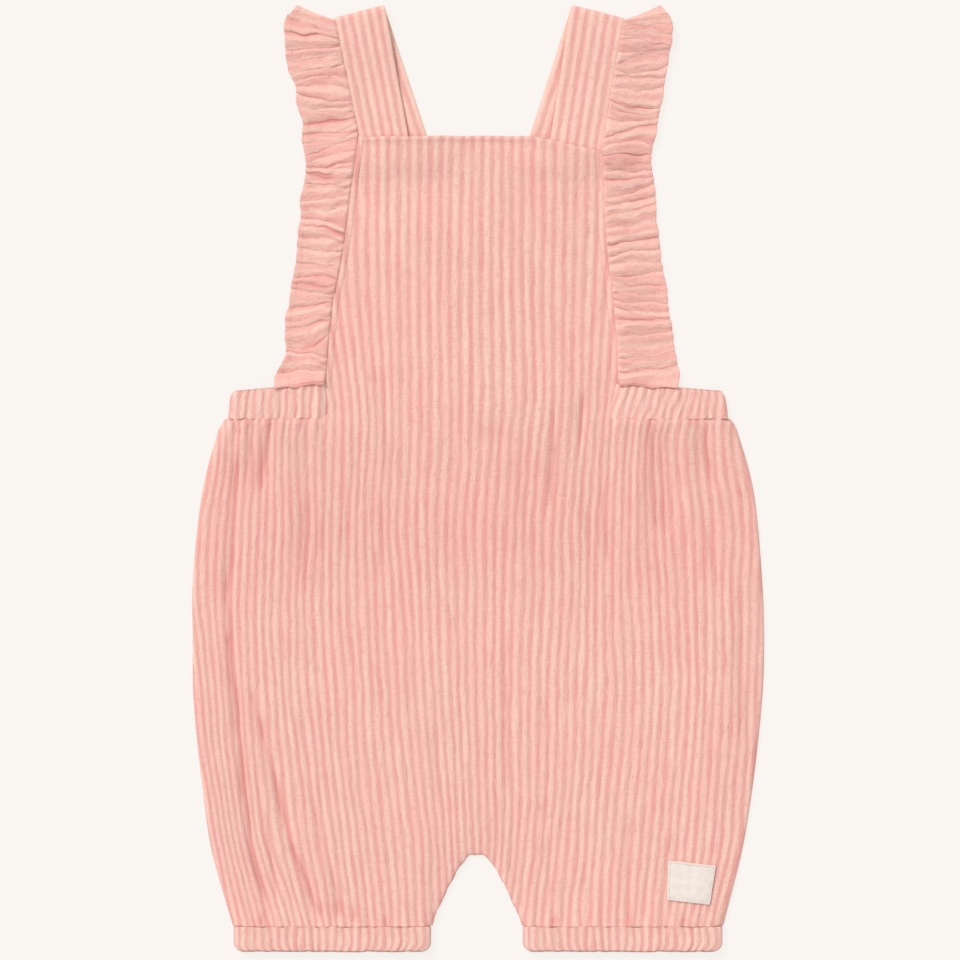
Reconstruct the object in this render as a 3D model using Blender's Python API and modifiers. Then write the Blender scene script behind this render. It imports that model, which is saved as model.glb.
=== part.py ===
"""Baby jumpsuit in striped crinkle cotton, laid flat on its back.

X runs across the garment to the viewer's right, Y from the leg hems to the shoulders and Z up from the surface
it lies on. The origin is at the middle of the garment's outline, on that surface. Sizes are in millimetres.
The bib and the lower front are one cut piece. An elastic waistband runs from one side of the bib round the back
to the other side. Two straps fold over the shoulders, cross behind the bib and meet the waistband, and a gathered
ruffle follows the outer edge of bib and strap on each side. Each leg is gathered into an elastic cuff.
"""
import math

import bmesh
import bpy

MM = 0.001
NAME = "baby_jumpsuit"

# Walls and gaps
CLOTH = 1.2                 # double-layer crinkle cotton, as one wall
RUFFLE_CLOTH = 1.0
STRAP_CLOTH = 1.5           # a strap is a tube of cloth pressed flat
ELASTIC_CLOTH = 1.8         # a casing with its elastic inside
LABEL_CLOTH = 1.0
SEAM = 0.3                  # gap between two pieces sewn together
CASING_OPEN = 3.3           # from the middle of a casing's back to the middle of its front
STRAP_OPEN = 4.0            # the same across a strap's fold at the shoulder
REST = 0.1                  # small play between the front and what it lies on

# Heights that the pieces lie at, each the middle of its wall
BACK_MIDDLE = CLOTH / 2
LAID_ON_BACK = CLOTH + SEAM           # underside of the front where it touches the back
BAND_BACK = ELASTIC_CLOTH / 2
BAND_FRONT = BAND_BACK + CASING_OPEN
STRAP_LOW = STRAP_CLOTH / 2
STRAP_HIGH = STRAP_LOW + STRAP_CLOTH + SEAM
STRAP_FOLD = STRAP_LOW + STRAP_OPEN
CUFF_BACK = ELASTIC_CLOTH / 2
CUFF_FRONT = CUFF_BACK + CASING_OPEN

# Levels along the garment
WAIST = 29.2                # top of the lower front, under the waistband
BAND_BOTTOM = WAIST + SEAM
BAND_TOP = 45.5
BIB_TOP = 170.5
BIB_CORNER_DROP = 7.0
HEM = -223.5                # where the legs go into their cuffs
CUFF_TOP = HEM - SEAM
CUFF_BOTTOM = -236.1
CROTCH = -188.0
CROTCH_MIDDLE = -0.75

# Side seams of the lower body: height, left, right
SIDES = (
    (29.2, -127.3, 126.4),
    (24.0, -129.8, 128.8),
    (-6.0, -137.2, 136.8),
    (-51.0, -142.2, 141.2),
    (-81.0, -142.2, 142.2),
    (-111.0, -141.8, 141.2),
    (-156.0, -137.2, 136.2),
    (-186.0, -132.8, 131.2),
    (-223.5, -122.2, 121.8),
)

# Edges of the bib, and below the waist the lines in which they run on: height, left, right
BIB_SIDES = (
    (170.5, -59.8, 61.2),
    (151.0, -62.8, 62.3),
    (127.0, -65.9, 63.2),
    (106.0, -69.0, 65.2),
    (86.0, -73.0, 67.7),
    (48.0, -76.4, 69.6),
    (29.2, -77.8, 66.4),
    (-60.0, -69.0, 66.0),
    (-150.0, -66.0, 66.0),
    (-224.0, -66.0, 66.0),
)

# Inner edges of the legs: distance from the middle of the crotch, drop below it
INSEAM = (
    (0.0, 0.0),
    (4.0, 0.5),
    (10.0, 8.0),
    (16.0, 19.5),
    (21.2, 31.0),
    (22.6, 35.5),
)

# Side folds of the waistband, rounded at the top corners: height, left, right
BAND_FOLDS = (
    (29.5, -126.6, 125.4),
    (36.0, -125.0, 124.6),
    (41.0, -123.8, 123.2),
    (43.5, -122.2, 121.5),
    (45.5, -120.0, 119.2),
)

# Long soft folds of the front: from x, from y, to x, to y, half width, height (a trough is negative)
FRONT_FOLDS = (
    (-118.0, -8.0, -124.0, -84.0, 4.5, -0.9),
    (-124.0, -84.0, -115.0, -171.0, 4.5, -0.9),
    (-106.0, 26.0, -103.0, -4.0, 4.0, 0.8),
    (82.0, 26.0, 86.0, -42.0, 4.5, 0.7),
    (110.0, 26.0, 111.5, -20.0, 4.0, 0.6),
    (-84.0, -176.0, -67.0, -221.0, 4.5, 0.8),
    (-99.0, -184.0, -82.0, -219.0, 4.5, 0.8),
    (84.0, -182.0, 74.0, -220.0, 4.5, 0.6),
    (-33.0, -150.0, -30.0, -219.0, 5.0, 0.6),
    (40.0, -168.0, 38.0, -219.0, 4.5, 0.5),
)

# Corners of each strap in plan: where its front runs under the bib, and its fold line at the shoulder.
# Behind the bib it leans inwards and bends a little; the left strap lies over the right one.
STRAPS = {
    "strap_left": {
        "end_outer": -57.9, "end_inner": -33.7,
        "fold_outer": (-71.0, 227.2), "fold_inner": (-46.6, 233.5),
        "lean": 0.33, "bend": 0.00095, "over": True,
    },
    "strap_right": {
        "end_outer": 61.3, "end_inner": 35.0,
        "fold_outer": (71.9, 227.0), "fold_inner": (46.0, 233.5),
        "lean": -0.324, "bend": -0.00104, "over": False,
    },
}
STRAP_FRONT_END = 162.5     # how far down the strap's front runs behind the bib
STRAP_BEND_START = 171.5
STRAP_BACK_END = BAND_TOP + SEAM
STRAP_CROSS_TOP = 118.0     # the left strap is above the right one from here
STRAP_CROSS_END = 51.2      # to here
STRAP_CROSS_RISE = 22.0
STRAP_CROSS_FALL = 4.8
STRAP_ACROSS = 3
STRAP_TURNS = 8
STRAP_FRONT_ROWS = (0.0, 0.12, 0.25, 0.4, 0.55, 0.7, 0.82, 0.92, 1.0)
STRAP_BACK_ROWS = tuple(k / 22 for k in range(20)) + (0.888, 0.912, 0.936, 0.955, 0.968, 0.98, 0.99, 1.0)

# Outer edge of each ruffle: height at the seam, then x and y of the edge
RUFFLE_EDGES = {
    "ruffle_left": (
        (48.6, -102.6, 48.2), (56.0, -101.0, 54.0), (64.0, -97.4, 64.0), (84.0, -96.0, 85.0), (98.0, -92.8, 101.0),
        (116.0, -91.0, 118.0), (134.0, -89.6, 136.0), (146.0, -87.4, 148.0), (158.0, -86.8, 158.0),
        (170.0, -88.0, 171.0), (182.0, -88.6, 181.0), (196.0, -92.0, 194.0), (206.0, -95.4, 206.0),
        (216.0, -96.9, 218.0), (227.4, -96.0, 229.5),
    ),
    "ruffle_right": (
        (48.2, 98.6, 47.0), (54.0, 100.6, 51.5), (64.0, 98.0, 62.0), (80.0, 95.0, 79.0), (96.0, 93.4, 96.0),
        (116.0, 91.0, 118.0), (134.0, 88.6, 136.0), (146.0, 88.0, 148.0), (158.0, 86.2, 158.0),
        (170.0, 87.6, 171.0), (182.0, 89.4, 181.0), (196.0, 92.0, 195.0), (206.0, 94.4, 206.0),
        (216.0, 96.6, 216.0), (227.4, 96.0, 228.0),
    ),
}

# Gathers of each ruffle: height at the seam, height at the edge, depth
RUFFLE_GATHERS = {
    "ruffle_left": (
        (48.6, 48.2, 0.9), (53.5, 53.5, 1.0), (61.5, 62.5, 0.7), (70.5, 66.5, 0.8), (79.0, 76.5, 0.6),
        (87.5, 87.0, 0.6), (97.0, 97.5, 1.0), (106.0, 106.5, 0.5), (113.0, 117.5, 0.5), (121.0, 127.0, 1.0),
        (135.5, 133.5, 0.6), (145.0, 143.0, 0.5), (151.0, 151.5, 1.0), (158.5, 155.5, 0.6), (169.0, 166.5, 0.7),
        (180.0, 177.5, 0.9), (189.0, 191.0, 0.5), (198.5, 197.0, 1.0), (209.5, 210.5, 0.5), (218.0, 223.0, 0.7),
        (227.4, 229.5, 0.9),
    ),
    "ruffle_right": (
        (48.2, 47.0, 0.9), (54.0, 55.0, 0.6), (62.0, 64.5, 0.5), (71.5, 73.0, 0.5), (80.0, 79.0, 0.9),
        (92.5, 90.5, 0.5), (101.0, 103.5, 0.5), (110.0, 113.0, 0.7), (117.5, 120.5, 0.8), (125.5, 128.0, 0.6),
        (135.5, 138.0, 0.5), (147.5, 148.0, 0.6), (156.0, 156.0, 0.7), (163.5, 164.5, 0.9), (172.0, 174.0, 0.6),
        (180.5, 181.0, 0.9), (186.5, 187.0, 0.8), (194.5, 195.0, 0.6), (204.5, 206.5, 0.8), (213.5, 213.0, 0.8),
        (221.0, 220.5, 0.5), (227.4, 228.0, 0.9),
    ),
}
RUFFLE_PEAK = {"ruffle_left": (-90.8, 235.9), "ruffle_right": (91.0, 235.9)}    # top of the shoulder fold
RUFFLE_BACK_LENGTH = 62.0   # the ruffle runs out on the back of the strap
RUFFLE_SWELL = 2.3          # how far a gather stands up at the outer edge
RUFFLE_SWELL_SEAM = 0.9
RUFFLE_SHOULDER = 1.6       # the ruffle rides higher towards the shoulder fold
RUFFLE_SHOULDER_FROM = 207.0
RUFFLE_SHOULDER_TO = 225.0
RUFFLE_LAP_FROM = 150.0     # from here up it lies on its own folded-over end
RUFFLE_LAP_TO = 172.0
RUFFLE_END_WIDTH = 7.0      # width where it runs out on the back
RUFFLE_PLAY = 0.15          # between the seam and the ruffle's first row
RUFFLE_ACROSS = 4
RUFFLE_TURNS = 6
RUFFLE_BACK_ROWS = 9
RUFFLE_STATIONS = (0.0, 0.28, 0.5, 0.72)        # rows between one crease and the next

# Gathers of the panels and casings
WAIST_GATHERS = 6
WAIST_GATHER_HEIGHT = 1.0
WAIST_GATHER_REACH = 24.0
CUFF_GATHERS = 10
CUFF_GATHER_HEIGHT = 1.0
CUFF_GATHER_REACH = 17.0
CASING_GATHER_HEIGHT = 0.35

# The front's crown over what it covers
CROWN = 1.1
CROWN_BIB = 0.4
CROWN_REACH = 20.0
LIFT_MARGIN = 3.2           # how far the cloth stays up beside a hidden strap
LIFT_SLOPE = 28.0           # and how far it takes to come down

# Casings: rows across, columns round
BAND_INNER_RISE = 2.0       # the band's top edge is higher at the bib
BAND_OUTER_DROP = 1.2       # and lower at the side folds
BAND_ROWS = (0.0, 0.4, 0.72, 0.9, 1.0)
BAND_COLUMNS = (19, 6, 16)
CUFF_ROWS = ((0.0, 0.0), (0.45, 0.0), (0.82, 0.5), (1.0, 2.6))      # share of the height, inset of the ends
CUFF_COLUMNS = (36, 6, 12)

# Bare woven label near the hem of the right leg
LABEL_CORNERS = ((94.2, -210.5), (115.4, -213.0), (118.5, -193.5), (94.5, -190.8))
LABEL_LIFT = SEAM + REST
LABEL_COLUMNS = 6
LABEL_ROWS = 5
LABEL_MARGIN = 2.5          # the front lies flat this far round the label
LABEL_BLEND = 9.0

# Rows of each block, as shares of its length
LOWER_ROWS = (0.0, 0.012, 0.035, 0.07, 0.115, 0.17, 0.24, 0.32, 0.41,
              0.5, 0.59, 0.68, 0.76, 0.83, 0.885, 0.93, 0.965, 1.0)
BIB_ROWS = (0.0, 0.07, 0.15, 0.24, 0.33, 0.42, 0.51, 0.6, 0.69, 0.78, 0.86, 0.93, 1.0)
BACK_ROWS = (0.0, 0.08, 0.2, 0.34, 0.48, 0.62, 0.76, 0.87, 0.95, 1.0)
SIDE_COLUMNS = 18
MIDDLE_COLUMNS = 36
BACK_SIDE_COLUMNS = 5
BACK_MIDDLE_COLUMNS = 20
INSEAM_COUNT = 14

LIGHT_PINK = (0.90, 0.52, 0.44, 1.0)
RUFFLE_PINK = (0.88, 0.49, 0.42, 1.0)
CASING_PINK = (0.89, 0.50, 0.43, 1.0)
LABEL_CREAM = (0.80, 0.74, 0.68, 1.0)


def step(low, high, value):
    """0 below low, 1 above high, smooth between them."""
    share = min(1.0, max(0.0, (value - low) / (high - low)))
    return share * share * (3 - 2 * share)


def mix(a, b, share):
    return a + (b - a) * share


def read(table, at, column):
    """A column of a table at a value of its first column, on a smooth curve through its rows."""
    rows = sorted(table)
    at = min(max(at, rows[0][0]), rows[-1][0])
    i = max(k for k in range(len(rows) - 1) if rows[k][0] <= at)
    low, high = rows[i], rows[i + 1]
    width = high[0] - low[0]

    def slope(k):
        before, after = rows[max(k - 1, 0)], rows[min(k + 1, len(rows) - 1)]
        return (after[column] - before[column]) / (after[0] - before[0])

    t = (at - low[0]) / width
    bend_low = slope(i) * width
    bend_high = slope(i + 1) * width
    return ((2 * t**3 - 3 * t**2 + 1) * low[column] + (t**3 - 2 * t**2 + t) * bend_low
            + (3 * t**2 - 2 * t**3) * high[column] + (t**3 - t**2) * bend_high)


# Outline

def side(y, sign):
    return read(SIDES, y, 1 if sign < 0 else 2)


def bib_side(y, sign):
    return read(BIB_SIDES, y, 1 if sign < 0 else 2)


def bib_top(x):
    """The bib's top edge is level and drops at its right corner."""
    return BIB_TOP - BIB_CORNER_DROP * step(20.0, 64.0, x)


def leg_bottom(x):
    """Lower edge of front and back at x: the hem, or the inner edges of the legs."""
    reach = abs(x - CROTCH_MIDDLE)
    if reach >= INSEAM[-1][0]:
        return HEM
    return CROTCH - read(INSEAM, reach, 1)


def inseam_points():
    widest = INSEAM[-1][0]
    for k in range(-INSEAM_COUNT, INSEAM_COUNT + 1):
        x = CROTCH_MIDDLE + widest * k / INSEAM_COUNT
        yield x, leg_bottom(x * 0.999)


INSEAM_POINTS = tuple(inseam_points())


def strap_back_centre(strap, y):
    """Middle of a strap behind the bib, at a height."""
    outer, inner = strap["fold_outer"], strap["fold_inner"]
    middle_x = (outer[0] + inner[0]) / 2
    middle_y = (outer[1] + inner[1]) / 2
    below = max(0.0, STRAP_BEND_START - y)
    return middle_x + strap["lean"] * (middle_y - y) + strap["bend"] * below**2


def strap_back_level(strap, y):
    """Height of the middle of a strap's wall behind the bib."""
    if not strap["over"]:
        return STRAP_LOW
    rise = 1 - step(STRAP_CROSS_TOP, STRAP_CROSS_TOP + STRAP_CROSS_RISE, y)
    fall = step(STRAP_CROSS_END - STRAP_CROSS_FALL, STRAP_CROSS_END, y)
    return mix(STRAP_LOW, STRAP_HIGH, rise * fall)


# Height of the front's underside

def fold_height(x, y):
    """Long folds laid into the front."""
    total = 0.0
    for x0, y0, x1, y1, half_width, height in FRONT_FOLDS:
        length = math.hypot(x1 - x0, y1 - y0)
        along = ((x - x0) * (x1 - x0) + (y - y0) * (y1 - y0)) / length
        away = ((x - x0) * (y1 - y0) - (y - y0) * (x1 - x0)) / length
        ends = step(-6.0, 12.0, along) * (1 - step(length - 12.0, length + 6.0, along))
        total += height * ends * math.exp(-(away / half_width) ** 2)
    return total


def uneven(share, count):
    """A gather's own height, from 0.55 to 1."""
    return 0.775 + 0.225 * math.sin(2.4 * math.floor(share * count) + 0.7)


def gather(share, count):
    """Rounded ridges side by side, the spacing a little uneven."""
    warped = share + 0.018 * math.sin(2 * math.pi * share * 2.3)
    return math.sin(math.pi * count * warped) ** 2 * uneven(warped, count)


def gather_height(x, y):
    """Gathers below the waistband and above the cuffs."""
    total = 0.0
    for sign in (-1, 1):
        outer, inner = side(y, sign), bib_side(y, sign)
        share = (x - inner) / (outer - inner)
        if 0 < share < 1 and y < WAIST + 1:
            fade = math.exp(-(WAIST - y) / WAIST_GATHER_REACH) * (1 - step(0.9, 1.0, share))
            total += WAIST_GATHER_HEIGHT * gather(share, WAIST_GATHERS) * fade
        inner = CROTCH_MIDDLE + sign * INSEAM[-1][0]
        share = (x - inner) / (outer - inner)
        if 0 < share < 1:
            ends = step(0.0, 0.06, share) * (1 - step(0.94, 1.0, share))
            fade = math.exp(-(y - HEM) / CUFF_GATHER_REACH) * ends
            total += CUFF_GATHER_HEIGHT * gather(share, CUFF_GATHERS) * fade
    return total


def under_label(x, y):
    """1 where the label lies, 0 away from it."""
    xs = [corner[0] for corner in LABEL_CORNERS]
    ys = [corner[1] for corner in LABEL_CORNERS]
    away_x = max(min(xs) - x, x - max(xs), 0.0)
    away_y = max(min(ys) - y, y - max(ys), 0.0)
    return 1 - step(LABEL_MARGIN, LABEL_BLEND, math.hypot(away_x, away_y))


def lifts(x, y):
    """How far each hidden piece lifts the front off the surface of the back."""
    margin = LIFT_MARGIN
    for strap in STRAPS.values():
        below = max(0.0, STRAP_BEND_START - y)
        lean = math.cos(math.atan(strap["lean"] + 2 * strap["bend"] * below))
        half = abs(strap["fold_inner"][0] - strap["fold_outer"][0]) / 2
        away = abs(x - strap_back_centre(strap, y)) * lean - half
        near = 1 - step(margin, margin + LIFT_SLOPE, away)
        near *= step(STRAP_BACK_END - 16, STRAP_BACK_END - margin, y)
        top = max(strap_back_level(strap, y + shift) for shift in (-margin, 0.0, margin, 2 * margin))
        yield near * (top + STRAP_CLOTH / 2 + SEAM - LAID_ON_BACK)
        middle = (strap["end_outer"] + strap["end_inner"]) / 2
        away = abs(x - middle) - half
        near = 1 - step(margin, margin + LIFT_SLOPE, away)
        near *= step(STRAP_FRONT_END - 18, STRAP_FRONT_END - margin, y)
        yield near * (STRAP_HIGH + STRAP_CLOTH / 2 + SEAM - LAID_ON_BACK)
    band = step(BAND_BOTTOM - 14, BAND_BOTTOM - 2, y) * (1 - step(BAND_TOP + 3, BAND_TOP + 14, y))
    yield band * (ELASTIC_CLOTH + SEAM - LAID_ON_BACK)


def edge_distance(x, y):
    if y > WAIST:
        return min(x - bib_side(y, -1), bib_side(y, 1) - x)
    to_inseam = min(math.hypot(x - px, y - py) for px, py in INSEAM_POINTS)
    return min(x - side(y, -1), side(y, 1) - x, to_inseam)


def front_middle(x, y):
    """Height of the middle of the front's wall."""
    rest = LAID_ON_BACK + CLOTH / 2 + REST
    hidden = sum(lift**6 for lift in lifts(x, y)) ** (1 / 6)
    inside = edge_distance(x, y)
    crown = mix(CROWN, CROWN_BIB, step(WAIST, BAND_TOP, y)) * step(0.0, CROWN_REACH, inside)
    loose = fold_height(x, y) * step(0.0, 5.0, inside) + gather_height(x, y)
    return rest + hidden + crown + loose * (1 - under_label(x, y))


# Building

def material(name, colour, roughness):
    made = bpy.data.materials.new(name)
    made.use_nodes = True
    shader = made.node_tree.nodes["Principled BSDF"]
    shader.inputs["Base Color"].default_value = colour
    shader.inputs["Roughness"].default_value = roughness
    shader.inputs["Metallic"].default_value = 0.0
    made.diffuse_color = colour
    return made


def cloth(name, points, thickness, finish, collection, keep=None, ring=False):
    """A wall of even thickness round a grid of points, points[row][column], as a grid with Solidify."""
    rows = len(points) - 1
    columns = len(points[0]) - 1
    grid = bmesh.new()
    bmesh.ops.create_grid(grid, x_segments=columns, y_segments=rows, size=1)
    cells = {}
    for face in grid.faces:
        middle = face.calc_center_median()
        cells[face] = (int((middle.x + 1) / 2 * columns), int((middle.y + 1) / 2 * rows))
    for vertex in grid.verts:
        column = round((vertex.co.x + 1) / 2 * columns)
        row = round((vertex.co.y + 1) / 2 * rows)
        vertex.co = [value * MM for value in points[row][column]]
    if keep:
        spare = [face for face, cell in cells.items() if not keep(*cell)]
        bmesh.ops.delete(grid, geom=spare, context="FACES")
    if ring:
        bmesh.ops.remove_doubles(grid, verts=grid.verts, dist=0.01 * MM)
    mesh = bpy.data.meshes.new(name)
    grid.to_mesh(mesh)
    grid.free()
    mesh.shade_smooth()
    mesh.materials.append(finish)
    made = bpy.data.objects.new(name, mesh)
    collection.objects.link(made)
    wall = made.modifiers.new("wall", "SOLIDIFY")
    wall.thickness = thickness * MM
    wall.offset = 0.0
    wall.use_rim = True
    return made


def across(y, columns_side, columns_middle):
    """Where the columns of front and back cross a height, from the left side to the right."""
    stops = (side(y, -1), bib_side(y, -1), bib_side(y, 1), side(y, 1))
    counts = (columns_side, columns_middle, columns_side)
    xs = [stops[0]]
    for start, end, count in zip(stops, stops[1:], counts):
        xs += [mix(start, end, (k + 1) / count) for k in range(count)]
    return xs


def lower_rows(shares, columns_side, columns_middle):
    """Rows of plan points from the hem and the inseams up to the waist."""
    ends = [leg_bottom(x) for x in across(HEM, columns_side, columns_middle)]
    rows = []
    for share in reversed(shares):
        row = []
        for column, end in enumerate(ends):
            y = mix(WAIST, end, share)
            row.append((across(y, columns_side, columns_middle)[column], y))
        rows.append(row)
    return rows


def front_panel(finish, collection):
    rows = lower_rows(LOWER_ROWS, SIDE_COLUMNS, MIDDLE_COLUMNS)
    lower = len(rows) - 1
    for share in BIB_ROWS[1:]:
        row = []
        for column in range(2 * SIDE_COLUMNS + MIDDLE_COLUMNS + 1):
            inside = min(max((column - SIDE_COLUMNS) / MIDDLE_COLUMNS, 0.0), 1.0)
            top = bib_top(mix(bib_side(BIB_TOP, -1), bib_side(BIB_TOP, 1), inside))
            y = mix(WAIST, top, share)
            row.append((mix(bib_side(y, -1), bib_side(y, 1), inside), y))
        rows.append(row)
    points = [[(x, y, front_middle(x, y)) for x, y in row] for row in rows]

    def keep(column, row):
        return row < lower or SIDE_COLUMNS <= column < SIDE_COLUMNS + MIDDLE_COLUMNS

    return cloth("front_panel", points, CLOTH, finish, collection, keep)


def back_panel(finish, collection):
    rows = lower_rows(BACK_ROWS, BACK_SIDE_COLUMNS, BACK_MIDDLE_COLUMNS)
    points = [[(x, y, BACK_MIDDLE) for x, y in row] for row in rows]
    return cloth("back_panel", points, CLOTH, finish, collection)


def waistband(finish, collection):
    """From the left edge of the bib round the left side, the back and the right side to the bib again."""
    radius = (BAND_FRONT - BAND_BACK) / 2
    front_count, turn_count, back_count = BAND_COLUMNS
    half = ELASTIC_CLOTH / 2
    points = []
    for share in BAND_ROWS:
        row = []
        y = mix(BAND_BOTTOM, BAND_TOP, share)
        drop = BAND_OUTER_DROP * share
        for sign in (-1, 1):
            fold = read(BAND_FOLDS, y, 1 if sign < 0 else 2) - sign * (half + radius)
            run = []
            for k in range(front_count + 1):
                inward = k / front_count
                inner = bib_side(y, sign) + sign * (SEAM + 0.2)
                x = mix(inner, fold, inward)
                rise = mix(BAND_INNER_RISE * share, -drop, step(0.0, 0.8, inward))
                wave = gather(inward, WAIST_GATHERS) * (1 - step(0.85, 1.0, inward))
                run.append((x, y + rise, BAND_FRONT + CASING_GATHER_HEIGHT * wave))
            for k in range(1, turn_count + 1):
                turn = math.pi * k / turn_count
                x = fold + sign * radius * math.sin(turn)
                run.append((x, y - drop, BAND_BACK + radius * (1 + math.cos(turn))))
            row.append(run)
        left, right = row
        start, end = left[-1][0], right[-1][0]
        back = []
        for k in range(1, back_count):
            along = k / back_count
            level = step(0.0, 0.3, along) * (1 - step(0.7, 1.0, along))
            back.append((mix(start, end, along), y - drop * (1 - level), BAND_BACK))
        points.append(left + back + right[::-1])
    return cloth("waistband", points, ELASTIC_CLOTH, finish, collection)


def strap(name, finish, collection):
    """Up from behind the bib, over the shoulder and down to the back of the waistband."""
    own = STRAPS[name]
    (outer_x, outer_y), (inner_x, inner_y) = own["fold_outer"], own["fold_inner"]
    length = math.hypot(inner_x - outer_x, inner_y - outer_y)
    up = (-(inner_y - outer_y) / length, (inner_x - outer_x) / length)
    if up[1] < 0:
        up = (-up[0], -up[1])
    radius = STRAP_OPEN / 2
    rows = []
    for share in STRAP_FRONT_ROWS:
        height = mix(STRAP_HIGH, STRAP_FOLD, step(0.45, 1.0, share))
        outer = (mix(own["end_outer"], outer_x, share), mix(STRAP_FRONT_END, outer_y, share))
        inner = (mix(own["end_inner"], inner_x, share), mix(STRAP_FRONT_END, inner_y, share))
        rows.append((outer, inner, height))
    for k in range(1, STRAP_TURNS):
        turn = math.pi * k / STRAP_TURNS
        out = radius * math.sin(turn)
        outer = (outer_x + up[0] * out, outer_y + up[1] * out)
        inner = (inner_x + up[0] * out, inner_y + up[1] * out)
        rows.append((outer, inner, STRAP_LOW + radius * (1 + math.cos(turn))))

    def back_x(x, y_top, y):
        return x + own["lean"] * (y_top - y) + own["bend"] * max(0.0, STRAP_BEND_START - y) ** 2

    for share in STRAP_BACK_ROWS:
        low_outer = mix(outer_y, STRAP_BACK_END, share)
        low_inner = mix(inner_y, STRAP_BACK_END, share)
        outer = (back_x(outer_x, outer_y, low_outer), low_outer)
        inner = (back_x(inner_x, inner_y, low_inner), low_inner)
        rows.append((outer, inner, None))
    points = []
    for outer, inner, height in rows:
        row = []
        for k in range(STRAP_ACROSS + 1):
            x = mix(outer[0], inner[0], k / STRAP_ACROSS)
            y = mix(outer[1], inner[1], k / STRAP_ACROSS)
            row.append((x, y, strap_back_level(own, y) if height is None else height))
        points.append(row)
    return cloth(name, points, STRAP_CLOTH, finish, collection)


def seam_x(name, y):
    """Where a ruffle is sewn to the bib or, above it, to the strap."""
    sign = -1 if name == "ruffle_left" else 1
    own = STRAPS["strap_left" if sign < 0 else "strap_right"]
    outer_x, outer_y = own["fold_outer"]
    share = (y - STRAP_FRONT_END) / (outer_y - STRAP_FRONT_END)
    on_strap = mix(own["end_outer"], outer_x, share)
    x = on_strap
    if y < BIB_TOP + 2:
        on_bib = bib_side(min(y, BIB_TOP), sign)
        x = mix(on_bib, on_strap, step(BIB_TOP - 8, BIB_TOP + 2, y))
        x = min(x, on_bib) if sign < 0 else max(x, on_bib)
    return x + sign * (SEAM + RUFFLE_PLAY)


def ruffle_wave(name, seam_y, edge_y, share):
    """Height of a gather between its two creases, 0 in a crease and up to 1 on the ridge."""
    creases = [(mix(row[0], row[1], share), row[2]) for row in RUFFLE_GATHERS[name]]
    y = mix(seam_y, edge_y, share)
    for (low, low_depth), (high, high_depth) in zip(creases, creases[1:]):
        if low <= y <= high:
            t = (y - low) / (high - low)
            ridge = math.sin(math.pi * t)
            floor = mix(1 - low_depth, 1 - high_depth, t)
            return floor * 0.6 + (1 - floor * 0.6) * ridge
    return 0.0


def ruffle(name, finish, collection):
    """A gathered strip along bib and strap, folded over the shoulder and running out on the strap's back."""
    sign = -1 if name == "ruffle_left" else 1
    edges = RUFFLE_EDGES[name]
    creases = RUFFLE_GATHERS[name]
    stations = []
    for (low, _, _), (high, _, _) in zip(creases, creases[1:]):
        stations += [mix(low, high, share) for share in RUFFLE_STATIONS]
    stations.append(creases[-1][0])
    under = RUFFLE_CLOTH / 2
    points = []
    for seam_y in stations:
        edge_x, edge_y = read(edges, seam_y, 1), read(edges, seam_y, 2)
        start = seam_x(name, seam_y)
        above_back = step(RUFFLE_LAP_FROM, RUFFLE_LAP_TO, seam_y)
        shoulder = step(RUFFLE_SHOULDER_FROM, RUFFLE_SHOULDER_TO, seam_y)
        at_seam = front_middle(start - sign * 1.5, seam_y) if seam_y < BIB_TOP else STRAP_HIGH
        at_seam = mix(at_seam, STRAP_HIGH, step(BIB_TOP - 12, BIB_TOP, seam_y))
        row = []
        for k in range(RUFFLE_ACROSS + 1):
            share = k / RUFFLE_ACROSS
            wave = ruffle_wave(name, seam_y, edge_y, share)
            low = under + mix(RUFFLE_PLAY, RUFFLE_CLOTH + SEAM, above_back) + RUFFLE_SHOULDER * shoulder
            base = mix(at_seam - 0.4, low, step(0.0, 0.85, share))
            swell = mix(RUFFLE_SWELL_SEAM, RUFFLE_SWELL, step(0.0, 0.8, share))
            row.append((mix(start, edge_x, share), mix(seam_y, edge_y, share), base + swell * wave))
        points.append(row)
    peak_x, peak_y = RUFFLE_PEAK[name]
    top_seam = creases[-1][0]
    start = seam_x(name, top_seam)
    last = [point[2] for point in points[-1]]
    own = STRAPS["strap_left" if sign < 0 else "strap_right"]
    for index in range(1, RUFFLE_TURNS):
        turn = math.pi * index / RUFFLE_TURNS
        row = []
        for k in range(RUFFLE_ACROSS + 1):
            share = k / RUFFLE_ACROSS
            radius = (last[k] - under) / 2
            reach = mix(1.2, peak_y - edges[-1][2], share**1.5)
            clear = start + sign * STRAP_CLOTH / 2 * math.sin(turn)
            x = mix(mix(start, edges[-1][1], share), mix(clear, peak_x, share), math.sin(turn))
            y = mix(top_seam, edges[-1][2], share) + reach * math.sin(turn)
            row.append((x, y, under + radius * (1 + math.cos(turn))))
        points.append(row)
    fold_x, fold_y = own["fold_outer"]
    for k in range(RUFFLE_BACK_ROWS + 1):
        along = k / RUFFLE_BACK_ROWS
        row = []
        for j in range(RUFFLE_ACROSS + 1):
            share = j / RUFFLE_ACROSS
            y = mix(top_seam, edges[-1][2], share * (1 - along)) - RUFFLE_BACK_LENGTH * along
            seam = fold_x + own["lean"] * (fold_y - y) + sign * (SEAM + STRAP_CLOTH * 0.6)
            width = mix(abs(edges[-1][1] - start), RUFFLE_END_WIDTH, along**1.3)
            first = mix(start, seam, step(0.0, 0.2, along))
            row.append((first + sign * width * share, y, under))
        points.append(row)
    return cloth(name, points, RUFFLE_CLOTH, finish, collection)


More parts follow.
